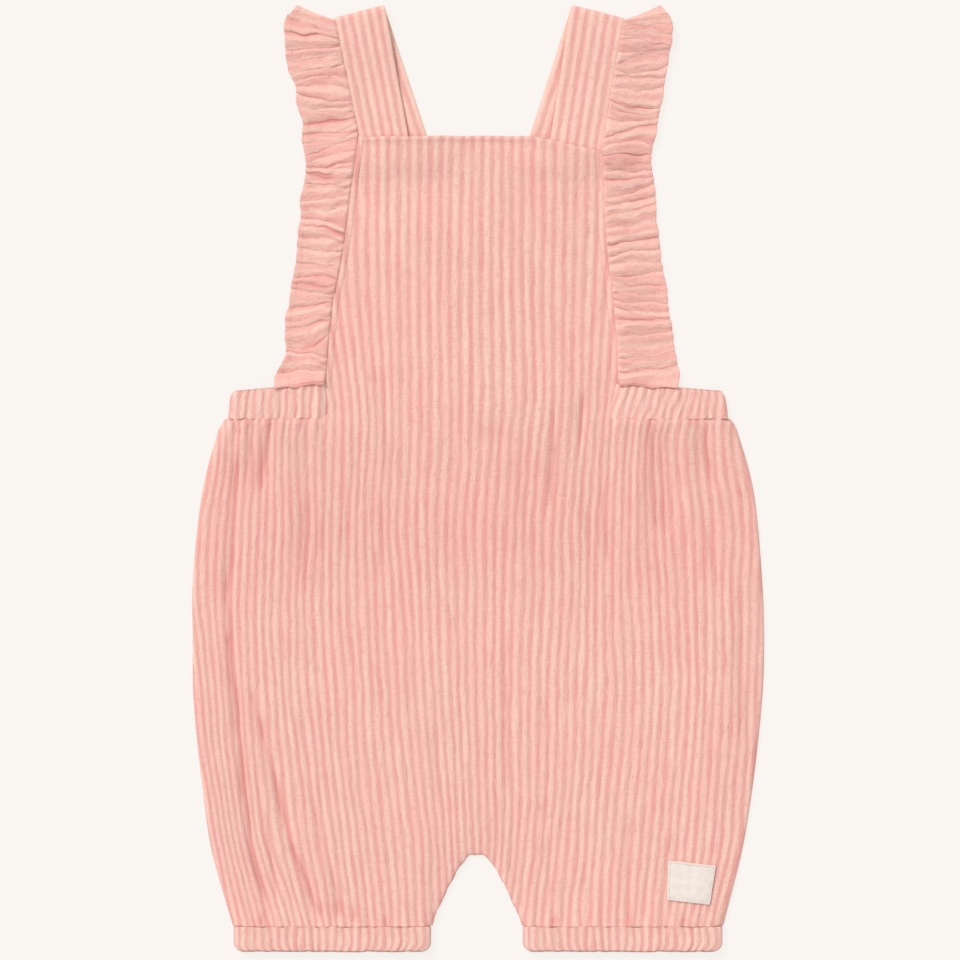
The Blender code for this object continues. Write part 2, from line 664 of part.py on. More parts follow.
def leg_cuff(name, finish, collection):
    """A flattened elastic ring at the end of a leg, with rounded lower corners."""
    sign = -1 if name == "leg_cuff_left" else 1
    outer = side(HEM, sign)
    inner = CROTCH_MIDDLE + sign * (INSEAM[-1][0] + SEAM)
    radius = (CUFF_FRONT - CUFF_BACK) / 2
    half = ELASTIC_CLOTH / 2
    front_count, turn_count, back_count = CUFF_COLUMNS
    points = []
    for share, inset in CUFF_ROWS:
        y = mix(CUFF_TOP, CUFF_BOTTOM, share)
        low = min(outer, inner) + half + radius + inset
        high = max(outer, inner) - half - radius - inset
        ring = []
        for k in range(front_count + 1):
            along = k / front_count
            ends = step(0.0, 0.06, along) * (1 - step(0.94, 1.0, along))
            wave = gather(along, CUFF_GATHERS) * ends
            ring.append((mix(low, high, along), y, CUFF_FRONT + CASING_GATHER_HEIGHT * wave))
        for k in range(1, turn_count):
            turn = math.pi * k / turn_count
            ring.append((high + radius * math.sin(turn), y, CUFF_BACK + radius * (1 + math.cos(turn))))
        for k in range(back_count + 1):
            ring.append((mix(high, low, k / back_count), y, CUFF_BACK))
        for k in range(1, turn_count):
            turn = math.pi * k / turn_count
            ring.append((low - radius * math.sin(turn), y, CUFF_BACK + radius * (1 - math.cos(turn))))
        ring.append(ring[0])
        points.append(ring)
    return cloth(name, points, ELASTIC_CLOTH, finish, collection, ring=True)


def side_label(finish, collection):
    """A bare woven label sewn on the right leg, made from the front's own surface."""
    lower_left, lower_right, upper_right, upper_left = LABEL_CORNERS
    rise = CLOTH / 2 + LABEL_LIFT + LABEL_CLOTH / 2
    points = []
    for j in range(LABEL_ROWS + 1):
        row = []
        up = j / LABEL_ROWS
        for i in range(LABEL_COLUMNS + 1):
            along = i / LABEL_COLUMNS
            low = [mix(a, b, along) for a, b in zip(lower_left, lower_right)]
            high = [mix(a, b, along) for a, b in zip(upper_left, upper_right)]
            x, y = [mix(a, b, up) for a, b in zip(low, high)]
            row.append((x, y, front_middle(x, y) + rise))
        points.append(row)
    return cloth("side_label", points, LABEL_CLOTH, finish, collection)


def main():
    for old in list(bpy.data.objects):
        bpy.data.objects.remove(old, do_unlink=True)
    collection = bpy.data.collections.new(NAME)
    bpy.context.scene.collection.children.link(collection)
    panel = material("striped_cotton", LIGHT_PINK, 0.9)
    frill = material("ruffle_cotton", RUFFLE_PINK, 0.9)
    casing = material("casing_cotton", CASING_PINK, 0.9)
    woven = material("label_cotton", LABEL_CREAM, 0.85)
    front_panel(panel, collection)
    back_panel(panel, collection)
    waistband(casing, collection)
    for name in STRAPS:
        strap(name, panel, collection)
    for name in RUFFLE_EDGES:
        ruffle(name, frill, collection)
    for name in ("leg_cuff_left", "leg_cuff_right"):
        leg_cuff(name, casing, collection)
    side_label(woven, collection)


main()
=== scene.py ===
"""The looks of a baby jumpsuit in striped crinkle cotton, laid flat on its back and seen from straight above.

Sizes are in millimetres until a mesh is made. X runs to the viewer's right, Y from the leg hems to the shoulders
and Z up from the surface. Every piece of cloth is a thin shell on the form of the part's own solid, with a map
named "cloth": U counts the stripes and V runs along them, in stripe widths.
"""

import math

import bpy
import numpy as np
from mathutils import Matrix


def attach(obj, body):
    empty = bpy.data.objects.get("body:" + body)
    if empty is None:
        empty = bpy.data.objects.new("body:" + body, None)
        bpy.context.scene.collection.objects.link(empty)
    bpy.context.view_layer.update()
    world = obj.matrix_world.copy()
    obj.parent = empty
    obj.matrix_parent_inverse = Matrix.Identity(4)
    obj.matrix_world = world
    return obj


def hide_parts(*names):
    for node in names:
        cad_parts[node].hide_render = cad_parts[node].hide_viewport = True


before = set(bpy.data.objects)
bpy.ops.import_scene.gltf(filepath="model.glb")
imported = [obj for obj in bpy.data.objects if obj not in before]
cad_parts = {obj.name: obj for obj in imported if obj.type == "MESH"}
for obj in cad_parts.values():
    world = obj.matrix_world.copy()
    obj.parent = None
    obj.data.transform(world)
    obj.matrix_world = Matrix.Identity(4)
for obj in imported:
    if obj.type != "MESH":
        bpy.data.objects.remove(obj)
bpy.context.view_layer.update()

MM = 0.001

# Walls and gaps, as in the part
CLOTH = 1.2
STRAP_CLOTH = 1.5
ELASTIC_CLOTH = 1.8
SEAM = 0.3

# Heights of the middle of each wall
LAID_ON_BACK = CLOTH + SEAM
BAND_BACK = ELASTIC_CLOTH / 2
BAND_FRONT = BAND_BACK + 3.3
CASING_RADIUS = (BAND_FRONT - BAND_BACK) / 2
STRAP_LOW = STRAP_CLOTH / 2
STRAP_HIGH = STRAP_LOW + STRAP_CLOTH + SEAM
STRAP_FOLD = STRAP_LOW + 4.0

# Levels along the garment
WAIST = 29.2
BAND_BOTTOM = WAIST + SEAM
BAND_TOP = 45.5
BIB_TOP = 170.5
HEM = -223.5
CUFF_TOP = HEM - SEAM
CUFF_BOTTOM = -236.1
CROTCH = -188.0
CROTCH_MIDDLE = -0.75

# Side seams of the lower body: height, left, right
SIDES = (
    (29.2, -126.0, 125.3),
    (27.6, -127.2, 126.7),
    (24.0, -129.3, 128.6),
    (-6.0, -137.2, 136.8),
    (-51.0, -142.2, 141.2),
    (-81.0, -142.2, 142.2),
    (-111.0, -141.8, 141.2),
    (-156.0, -137.2, 136.2),
    (-186.0, -132.8, 131.2),
    (-223.5, -122.2, 121.8),
)

# Edges of the bib, and below the waist the lines in which they run on: height, left, right
BIB_SIDES = (
    (170.5, -59.8, 61.2),
    (151.0, -62.8, 62.3),
    (127.0, -65.9, 63.2),
    (106.0, -69.0, 65.2),
    (86.0, -73.0, 67.7),
    (48.0, -76.4, 69.6),
    (29.2, -77.8, 66.4),
    (-60.0, -69.0, 66.0),
    (-150.0, -66.0, 66.0),
    (-224.0, -66.0, 66.0),
)

# Inner edges of the legs: distance from the middle of the crotch, drop below it
INSEAM = (
    (0.0, 0.0),
    (4.0, 0.5),
    (10.0, 8.0),
    (16.0, 19.5),
    (21.2, 31.0),
    (22.6, 35.5),
)
LEG_GAP = INSEAM[-1][0]

# Side folds of the waistband, rounded at the top corners: height, left, right
BAND_FOLDS = (
    (29.5, -125.2, 124.8),
    (36.0, -124.6, 124.1),
    (41.0, -124.1, 123.3),
    (43.5, -123.4, 122.5),
    (45.5, -121.9, 121.1),
)

# Where every sixth stripe runs down the front: height, then x of stripes 0, 6, 12 ... 60
STRIPE_STEP = 6
STRIPE_LINES = (
    (170.0, -163.0, -132.0, -101.5, -70.8, -39.8, -7.8, 21.8, 54.8, 85.5, 116.0, 147.0),
    (99.0, -163.0, -132.0, -101.5, -71.0, -39.8, -9.3, 21.8, 52.8, 84.0, 115.0, 146.0),
    (39.0, -136.0, -113.5, -88.8, -63.8, -38.8, -8.8, 22.8, 51.3, 75.8, 99.8, 124.0),
    (19.0, -132.8, -112.8, -90.3, -63.3, -38.8, -8.8, 20.8, 49.8, 73.3, 93.8, 121.8),
    (-21.0, -138.3, -113.8, -89.3, -64.8, -40.3, -11.8, 18.3, 46.8, 71.8, 96.3, 126.3),
    (-61.0, -139.3, -115.8, -90.8, -65.3, -37.8, -10.8, 17.3, 46.3, 71.3, 99.3, 126.3),
    (-101.0, -135.3, -114.3, -89.8, -62.3, -36.3, -9.8, 16.3, 44.3, 72.8, 100.8, 126.3),
    (-141.0, -131.3, -111.8, -85.3, -60.3, -32.8, -8.3, 16.3, 42.8, 70.8, 98.3, 124.3),
    (-181.0, -124.8, -106.8, -80.3, -55.8, -28.3, -6.3, 16.3, 39.8, 67.3, 94.3, 121.3),
    (-224.0, -114.8, -93.8, -74.0, -51.3, -26.3, -4.3, 10.0, 35.8, 65.0, 89.8, 112.8),
)
STRIPE = 4.7                # the unit of V, about one stripe

# Creases of the front: from x, from y, to x, to y, half width, height (a trough is negative)
FRONT_CREASES = (
    (-121.0, 8.0, -125.3, -61.0, 3.2, -0.9),
    (-125.3, -61.0, -119.3, -131.0, 3.0, -1.1),
    (-119.3, -131.0, -114.3, -181.0, 3.0, -1.2),
    (-114.3, -181.0, -105.3, -214.0, 2.8, -1.1),
    (-113.3, -106.0, -105.3, -136.0, 2.6, -0.8),
    (-105.3, -136.0, -94.3, -181.0, 2.8, -1.1),
    (-94.3, -181.0, -81.3, -214.0, 2.8, -1.1),
    (-110.0, -150.0, -100.5, -212.0, 2.2, -0.6),
    (-89.3, -121.0, -83.3, -161.0, 2.4, -0.45),
    (-83.3, -161.0, -67.0, -218.5, 2.2, -0.55),
    (-105.3, 28.0, -108.3, -6.0, 3.6, -0.85),
    (-114.3, 26.0, -115.8, -4.0, 2.2, -0.5),
    (-86.8, -11.0, -86.8, -56.0, 3.6, -0.4),
    (-78.3, -21.0, -79.3, -61.0, 2.8, -0.35),
    (-65.8, -1.0, -66.3, -41.0, 2.8, -0.3),
    (-46.8, 56.5, -46.3, 4.0, 2.2, -0.4),
    (-48.3, -11.0, -49.8, -51.0, 3.6, -0.35),
    (-37.0, -61.0, -34.0, -106.0, 3.0, -0.25),
    (-21.8, -126.0, -19.3, -166.0, 3.0, -0.3),
    (37.3, 34.0, 36.8, -14.0, 2.4, -0.8),
    (51.8, 42.0, 50.8, 14.0, 2.6, -0.8),
    (84.8, 28.0, 88.3, -24.0, 3.8, -0.65),
    (91.8, 20.0, 92.8, -28.0, 3.6, -0.6),
    (111.8, 29.0, 116.8, -2.0, 3.6, -0.95),
    (114.8, -24.0, 116.8, -44.0, 4.0, -0.5),
    (130.8, -56.0, 131.8, -131.0, 3.6, -0.45),
    (54.0, -10.0, 56.0, -44.0, 3.4, -0.4),
    (62.0, -6.0, 64.0, -40.0, 3.0, -0.35),
    (13.3, -81.0, 14.3, -156.0, 3.2, -0.4),
    (33.3, -111.0, 35.3, -214.0, 2.4, -0.4),
    (74.8, -172.0, 74.8, -219.0, 2.4, -0.45),
    (-4.0, 24.0, 16.0, 22.0, 8.0, -0.3),
    (101.0, 20.0, 103.0, -8.0, 8.0, -0.3),
    (-109.0, 18.0, -111.0, -8.0, 7.0, -0.25),
    (-96.0, 27.0, -94.0, -30.0, 4.0, 0.4),
    (80.0, 27.0, 79.0, -34.0, 3.2, 0.5),
    (103.0, 27.0, 105.0, -24.0, 3.4, 0.5),
)

# Puckers where the sewing draws the cloth in: x, y, reach
PUCKERS = (
    (-113.8, 28.4, 1.4), (-104.8, 28.0, 2.2), (107.3, 28.4, 2.0), (86.0, 28.6, 1.4), (-88.0, 28.6, 1.2),
    (-108.0, -221.0, 2.0), (-79.0, -215.0, 2.2), (-69.5, -214.5, 2.6), (-62.0, -218.0, 2.2),
    (-46.8, -222.0, 2.2), (38.0, -221.5, 1.8), (75.0, -221.5, 2.0), (102.0, -222.0, 1.8),
)

# Corners of each strap in plan: where its front runs under the bib, and its fold line at the shoulder
STRAPS = {
    "strap_left": {"end_outer": -57.9, "end_inner": -33.7, "fold_outer": (-71.0, 227.2), "fold_inner": (-46.6, 233.5),
                   "lean": 0.33, "bend": 0.00095, "over": True},
    "strap_right": {"end_outer": 61.3, "end_inner": 35.0, "fold_outer": (71.9, 227.0), "fold_inner": (46.0, 233.5),
                    "lean": -0.324, "bend": -0.00104, "over": False},
}
STRAP_FRONT_END = 162.5
STRAP_BEND_START = 171.5
STRAP_BACK_END = BAND_TOP + SEAM
STRAP_CROSS_TOP = 118.0
STRAP_CROSS_END = 51.2
STRAP_CROSS_RISE = 22.0
STRAP_CROSS_FALL = 4.8
STRAP_STRIPES = 5.4
STRAP_PHASE = 0.3

# Outer edge of each ruffle: height, x
RUFFLE_EDGES = {
    "ruffle_left": (
        (47.5, -102.2), (52.0, -101.3), (58.0, -97.3), (63.5, -96.2), (69.0, -96.7), (82.0, -96.2), (85.5, -94.9),
        (97.0, -93.5), (103.0, -92.1), (112.0, -90.9), (124.0, -90.1), (130.0, -88.8), (139.0, -89.3),
        (145.0, -87.8), (151.0, -86.6), (156.0, -86.2), (162.0, -86.9), (169.0, -88.3), (177.0, -87.8),
        (184.0, -90.3), (189.0, -91.1), (195.0, -91.2), (202.0, -94.2), (208.0, -96.0), (218.0, -96.6),
        (226.0, -97.0), (230.5, -96.0), (232.0, -93.8),
    ),
    "ruffle_right": (
        (46.2, 99.6), (51.0, 100.5), (57.0, 99.4), (63.0, 98.1), (72.0, 97.2), (80.0, 95.6), (85.0, 94.9),
        (97.0, 93.9), (102.5, 92.5), (109.0, 91.3), (121.0, 90.2), (129.0, 89.0), (140.0, 88.6), (147.0, 87.9),
        (152.0, 86.9), (160.0, 86.3), (167.0, 87.4), (174.0, 89.0), (184.0, 90.6), (190.0, 92.0), (200.0, 93.4),
        (210.0, 95.0), (218.0, 96.5), (226.0, 96.9), (231.0, 95.4),
    ),
}

# Creases of each ruffle: height at the seam, height at the edge, bow upwards, depth at the seam, depth at the edge
RUFFLE_CREASES = {
    "ruffle_left": (
        (48.2, 47.5, 0.0, 1.0, 1.0), (53.5, 51.8, 0.3, 0.5, 0.8), (60.0, 63.2, 1.2, 0.7, 1.0),
        (71.5, 65.4, -1.5, 0.9, 1.0), (78.8, 74.5, -0.6, 1.0, 0.4), (87.5, 84.5, 0.0, 0.9, 0.3),
        (91.0, 94.6, 0.5, 0.6, 0.7), (95.8, 97.2, 0.0, 0.8, 1.0), (99.0, 98.9, 1.8, 0.7, 1.0),
        (106.0, 107.5, 0.0, 0.9, 0.3), (113.0, 115.0, 0.0, 0.6, 0.5), (116.8, 120.0, 0.4, 0.3, 0.5),
        (120.5, 126.5, 1.4, 1.0, 1.0), (124.5, 129.5, 1.3, 0.8, 0.3), (135.3, 132.2, -0.3, 1.0, 0.5),
        (140.0, 137.6, 0.2, 0.4, 0.6), (145.0, 147.5, -0.2, 0.9, 0.3), (150.0, 152.2, -1.0, 1.0, 1.0),
        (154.2, 153.6, 0.3, 0.7, 0.9), (158.0, 155.2, -1.2, 1.0, 0.8), (163.0, 157.0, 1.0, 0.5, 0.6),
        (166.2, 160.5, 1.8, 0.4, 0.5), (168.8, 166.6, -0.2, 1.0, 0.6), (173.0, 171.4, 0.2, 0.4, 0.5),
        (180.0, 176.0, -0.3, 1.0, 0.9), (184.0, 185.0, -0.5, 0.4, 0.7), (188.5, 192.5, -1.2, 0.8, 0.8),
        (194.0, 195.2, 2.0, 0.8, 0.8), (199.0, 197.0, 2.7, 1.0, 1.0), (206.0, 201.5, 1.4, 0.5, 0.4),
        (210.0, 206.0, 1.2, 0.5, 0.5), (214.8, 213.0, 0.0, 0.8, 0.6), (218.6, 223.0, 0.6, 1.0, 0.8),
        (223.0, 230.4, -1.0, 0.5, 1.0), (227.4, 232.0, 0.0, 0.3, 0.6),
    ),
    "ruffle_right": (
        (47.6, 46.3, 0.0, 1.0, 1.0), (52.8, 56.4, -1.1, 0.9, 0.5), (59.5, 63.3, -0.6, 0.6, 0.5),
        (65.0, 68.0, -0.3, 0.4, 0.4), (70.0, 73.5, -0.2, 0.7, 0.4), (79.0, 79.5, -0.3, 0.9, 0.9),
        (84.0, 82.5, 0.0, 0.3, 0.4), (88.5, 87.0, 0.0, 0.8, 0.3), (92.5, 91.2, -0.2, 0.8, 0.7),
        (96.5, 96.0, 0.0, 0.3, 0.5), (100.5, 103.5, -0.3, 0.9, 0.6), (106.0, 108.0, 0.0, 0.4, 0.3),
        (110.0, 114.5, 0.8, 0.9, 0.4), (116.0, 120.4, -0.3, 0.8, 0.6), (124.0, 128.0, 0.0, 0.8, 0.5),
        (131.0, 137.0, -0.7, 0.6, 0.7), (135.2, 141.0, -0.6, 0.9, 0.2), (140.0, 147.2, -0.9, 1.0, 0.7),
        (148.5, 150.6, -0.6, 1.0, 0.2), (153.0, 153.7, -0.4, 0.9, 0.4), (156.5, 156.9, 0.2, 0.9, 0.9),
        (160.5, 161.6, 0.3, 1.0, 0.7), (164.5, 165.6, 3.4, 0.8, 0.9), (169.6, 176.8, 1.0, 0.8, 0.6),
        (180.0, 179.6, -1.8, 1.0, 0.2), (184.2, 181.8, -2.0, 0.9, 0.3), (188.5, 185.0, -1.4, 0.8, 1.0),
        (194.7, 195.4, -1.2, 1.0, 0.5), (200.0, 199.5, 0.0, 0.3, 0.5), (203.4, 206.3, -1.9, 0.7, 0.5),
        (206.2, 211.8, 1.9, 0.9, 0.3), (212.4, 214.0, -0.9, 1.0, 0.4), (218.8, 216.0, 0.6, 0.9, 0.6),
        (222.2, 221.5, 0.0, 0.4, 0.4), (225.0, 226.3, 0.2, 0.7, 0.7), (227.4, 230.6, 0.0, 0.3, 0.5),
    ),
}
RUFFLE_PEAK = {"ruffle_left": (-90.8, 235.9), "ruffle_right": (91.0, 235.9)}
RUFFLE_BACK_LENGTH = 62.0
RUFFLE_CLOTH = 1.0
RUFFLE_WALL = 0.68          # the sheet itself, doubled at the hem
RUFFLE_SWELL = 1.15
RUFFLE_SWELL_SEAM = 0.95
RUFFLE_DROP = {"ruffle_left": 3.0, "ruffle_right": 1.7}    # how far the lowest fold laps the casing
RUFFLE_LAP = 5.6           # the lowest fold lies on the waist casing
RUFFLE_SHOULDER = 1.6
RUFFLE_SHOULDER_FROM = 207.0
RUFFLE_SHOULDER_TO = 225.0
RUFFLE_ON_END_FROM = 150.0  # from here up it lies on its own folded-over end
RUFFLE_ON_END_TO = 172.0
RUFFLE_END_WIDTH = 7.0      # width where it runs out on the back
RUFFLE_STRIPES = 37
RUFFLE_HEM = 3.0
RUFFLE_WIDTH = 29.0
RUFFLE_TUCK = 1.6           # runs in under the bib and the strap
FOLD_STEPS = 13
FOLD_FULL = 5.0             # a fold this wide reaches its full height

# Gathers of the panels and casings; the part has only the coarser ones
WAIST_GATHERS = 6
CUFF_GATHERS = 10
CUFF_FINE_GATHERS = 23
BELOW_WAIST = ((WAIST_GATHERS, 1.0, 24.0), (17, 0.45, 7.0))         # gathers, height, reach
ABOVE_CUFF = ((CUFF_GATHERS, 1.0, 17.0), (CUFF_FINE_GATHERS, 0.4, 6.0))
CASING_GATHER_HEIGHT = 0.35
BAND_FINE_GATHERS = 14
BAND_BACK_GATHERS = 34
CUFF_CORNER = 4.2
CUFF_STRIPES = 23
CASING_LAP = 0.36           # the casing's ends lie on the bib's edges, pressed flat to this share
CASING_ENDS = (             # share of the casing's height, how far the left and the right end reach over the bib
    (0.0, 1.2, 1.0),
    (0.15, 2.0, 0.9),
    (0.4, 2.2, 0.9),
    (0.7, 1.2, 0.8),
    (1.0, 0.3, 0.8),
)
BAND_INNER_RISE = 2.0       # the casing's top edge slopes from the bib down to the side folds
BAND_OUTER_DROP = 2.0

LABEL_CORNERS = ((94.2, -210.5), (115.4, -213.0), (118.5, -193.5), (94.5, -190.8))
LABEL_CLOTH = 1.0
LABEL_SIZE = (22, 19)
LABEL_LIFT = SEAM + 0.1

# Cloth edges
FOLDED_WALL = 0.5           # cloth of the casings and straps, thinner than their solids' walls
ROLL = 2.2                  # the front turns down to the back within this distance of its edge
ROLL_LOW = 0.75
EDGE_STEPS = (0.0, 0.12, 0.4, 0.8, 1.3, 1.8, 2.4)
WELT = 3.0                  # folded edge along each side of the bib
WELT_HEIGHT = 0.35
TOP_HEM = 2.4               # stitching below the bib's top edge
TOP_HEM_HEIGHT = 0.3
BIB_WIDTH = 134.0           # for the spacing of columns only
RELIEF = 0.11               # half the height of a stripe's crinkle
CREASE_DEPTH = 1.5          # times the heights charted for the creases
TUCK = 1.4                  # cloth that runs on into a casing
TUCK_LEVEL = (ELASTIC_CLOTH + BAND_FRONT - ELASTIC_CLOTH / 2) / 2


def srgb(red, green, blue):
    """A colour as it shows on a screen, 0 to 255, as Blender's linear colour."""
    def linear(value):
        share = value / 255
        return share / 12.92 if share <= 0.04045 else ((share + 0.055) / 1.055) ** 2.4
    return (linear(red), linear(green), linear(blue), 1.0)


# Curves and noise

def step(low, high, value):
    """0 below low, 1 above high, smooth between them."""
    share = np.clip((value - low) / (high - low), 0.0, 1.0)
    return share * share * (3 - 2 * share)


def mix(a, b, share):
    return a + (b - a) * share


def read(table, at, column):
    """A column of a table at values of its first column, on a smooth curve through its rows."""
    rows = np.array(sorted(table), dtype=float)
    stops, values = rows[:, 0], rows[:, column]
    slopes = np.empty(len(stops))
    slopes[1:-1] = (values[2:] - values[:-2]) / (stops[2:] - stops[:-2])
    slopes[0] = (values[1] - values[0]) / (stops[1] - stops[0])
    slopes[-1] = (values[-1] - values[-2]) / (stops[-1] - stops[-2])
    at = np.clip(at, stops[0], stops[-1])
    i = np.clip(np.searchsorted(stops, at, side="right") - 1, 0, len(stops) - 2)
    width = stops[i + 1] - stops[i]
    t = (at - stops[i]) / width
    low, high = values[i], values[i + 1]
    return ((2 * t**3 - 3 * t**2 + 1) * low + (t**3 - 2 * t**2 + t) * slopes[i] * width
            + (3 * t**2 - 2 * t**3) * high + (t**3 - t**2) * slopes[i + 1] * width)


def noise(x, y, seed):
    """Smooth noise from -1 to 1, the same each time."""
    def corner(i, j):
        value = np.sin(i * 127.1 + j * 311.7 + seed * 74.7) * 43758.5453
        return (value - np.floor(value)) * 2 - 1

    x, y = np.broadcast_arrays(np.asarray(x, dtype=float), np.asarray(y, dtype=float))
    i, j = np.floor(x), np.floor(y)
    u, v = step(0, 1, x - i), step(0, 1, y - j)
    low = mix(corner(i, j), corner(i + 1, j), u)
    high = mix(corner(i, j + 1), corner(i + 1, j + 1), u)
    return mix(low, high, v)


# Outline

def read_side(table, at, sign):
    """The left column of a table for sign -1 and the right one for 1."""
    return read(table, at, 1 if sign < 0 else 2)


def sign_of(name):
    return -1 if name.endswith("left") else 1


def side(y, sign):
    return read_side(SIDES, y, sign)


def bib_side(y, sign):
    return read_side(BIB_SIDES, y, sign)


def bib_top(x):
    """The bib's top edge is level and drops at its right corner."""
    return BIB_TOP - 7.0 * step(20.0, 64.0, x) + 0.5 * noise(x / 9.0, 0.0, 13)


def leg_bottom(x, inset=0.0):
    """Lower edge of front and back at x: the hem, or the inner edges of the legs, moved in by an inset."""
    reach = np.abs(x - CROTCH_MIDDLE)
    moved = np.maximum(reach - inset, 0.0)
    inner = CROTCH - read(INSEAM, moved, 1) + inset * (1 - step(0.0, 10.0, reach))
    return np.where(moved >= LEG_GAP, HEM, inner)


INSEAM_X = np.linspace(CROTCH_MIDDLE - LEG_GAP * 0.999, CROTCH_MIDDLE + LEG_GAP * 0.999, 91)
INSEAM_Y = leg_bottom(INSEAM_X)


def edge_distance(x, y):
    """From a point of the lower front to its nearest side seam or inner leg seam."""
    to_inseam = np.full(np.shape(x), 1e3)
    for px, py in zip(INSEAM_X, INSEAM_Y):
        to_inseam = np.minimum(to_inseam, np.hypot(x - px, y - py))
    return np.minimum(np.minimum(x - side(y, -1), side(y, 1) - x), to_inseam)


def bib_distance(x, y):
    return np.minimum(x - bib_side(y, -1), bib_side(y, 1) - x)


def strap_back_centre(strap, y):
    """Middle of a strap behind the bib, at a height."""
    outer, inner = strap["fold_outer"], strap["fold_inner"]
    middle_x = (outer[0] + inner[0]) / 2
    middle_y = (outer[1] + inner[1]) / 2
    below = np.maximum(0.0, STRAP_BEND_START - y)
    return middle_x + strap["lean"] * (middle_y - y) + strap["bend"] * below**2


def strap_back_level(strap, y):
    """Height of the middle of a strap's wall behind the bib."""
    if not strap["over"]:
        return STRAP_LOW + 0.0 * y
    rise = 1 - step(STRAP_CROSS_TOP, STRAP_CROSS_TOP + STRAP_CROSS_RISE, y)
    fall = step(STRAP_CROSS_END - STRAP_CROSS_FALL, STRAP_CROSS_END, y)
    return mix(STRAP_LOW, STRAP_HIGH, rise * fall)


# The front's surface

def stripe(x, y):
    """How many stripes a point of the front lies from the left, a whole number in the middle of a dark one."""
    lines = [read(STRIPE_LINES, y, column) for column in range(1, len(STRIPE_LINES[0]))]
    total = np.minimum(0.0, (x - lines[0]) / (lines[1] - lines[0]))
    for left, right in zip(lines, lines[1:]):
        total = total + np.clip((x - left) / (right - left), 0.0, 1.0)
    total = total + np.maximum(0.0, (x - lines[-1]) / (lines[-1] - lines[-2]))
    count = STRIPE_STEP * total
    below = 1 - step(20.0, 70.0, y)
    sway = 0.13 * noise(count * 0.45, y / 26, 3) + 0.07 * noise(count * 1.3, y / 9, 5)
    return count + sway * mix(0.35, 1.0, below)


def crease_height(x, y):
    """The creases charted for the front: their height, and 0 to 1 for the painted shade in the troughs, at the puckers
    and in a broad band below the waist.
    """
    total = np.zeros(np.shape(x))
    shade = np.zeros(np.shape(x))
    for x0, y0, x1, y1, half_width, height in FRONT_CREASES:
        length = math.hypot(x1 - x0, y1 - y0)
        along = ((x - x0) * (x1 - x0) + (y - y0) * (y1 - y0)) / length
        away = ((x - x0) * (y1 - y0) - (y - y0) * (x1 - x0)) / length
        away = away + 0.8 * noise(y / 14, x0, 8)
        ends = step(-6.0, 8.0, along) * (1 - step(length - 8.0, length + 6.0, along))
        ends = ends * (0.8 + 0.35 * noise(along / 11, x0, 9))
        total += CREASE_DEPTH * height * ends * np.exp(-(away / half_width) ** 2)
        shade += max(-height, 0.0) * ends * np.exp(-(away / (0.5 * half_width)) ** 2)
    # Puckers dip the cloth and take painted shade
    for x0, y0, reach in PUCKERS:
        spot = np.exp(-np.hypot((x - x0) / reach, (y - y0) / (1.7 * reach)) ** 2)
        total -= 0.5 * spot
        shade += 0.75 * spot
    # A broad band of painted shade below the waist
    belly = step(-78.0, -30.0, y) * (1 - step(-6.0, 36.0, y))
    shade = shade + 0.25 * belly * (0.75 + 0.5 * noise(x / 21, y / 34, 14))
    return total, np.clip(shade, 0.0, 1.0)


def uneven(share, count):
    """A gather's own height, from 0.55 to 1."""
    return 0.775 + 0.225 * np.sin(2.4 * np.floor(share * count) + 0.7)


def gather(share, count):
    """Rounded ridges side by side, the spacing a little uneven."""
    warped = share + 0.018 * np.sin(2 * math.pi * share * 2.3)
    return np.sin(math.pi * count * warped) ** 2 * uneven(warped, count)


def between(share):
    """0 at both ends of a run of gathers and 1 between them."""
    return step(0.0, 0.06, share) * (1 - step(0.94, 1.0, share))


def gather_height(x, y):
    """Gathers below the waistband and above the cuffs."""
    total = np.zeros(np.shape(x))
    for sign in (-1, 1):
        outer, at_bib, at_leg = side(y, sign), bib_side(y, sign), CROTCH_MIDDLE + sign * LEG_GAP
        share = (x - at_bib) / (outer - at_bib)
        inside = (share > 0) & (share < 1) & (y < WAIST + 1)
        for count, height, reach in BELOW_WAIST:
            fade = np.exp(-(WAIST - y) / reach) * (1 - step(0.9, 1.0, share))
            total += inside * height * gather(share, count) * fade
        share = (x - at_leg) / (outer - at_leg)
        inside = (share > 0) & (share < 1)
        for count, height, reach in ABOVE_CUFF:
            total += inside * height * gather(share, count) * np.exp(-(y - HEM) / reach) * between(share)
    return total


def under_label(x, y):
    """1 where the label lies, 0 away from it."""
    xs = [corner[0] for corner in LABEL_CORNERS]
    ys = [corner[1] for corner in LABEL_CORNERS]
    away_x = np.maximum(np.maximum(min(xs) - x, x - max(xs)), 0.0)
    away_y = np.maximum(np.maximum(min(ys) - y, y - max(ys)), 0.0)
    return 1 - step(1.5, 6.0, np.hypot(away_x, away_y))


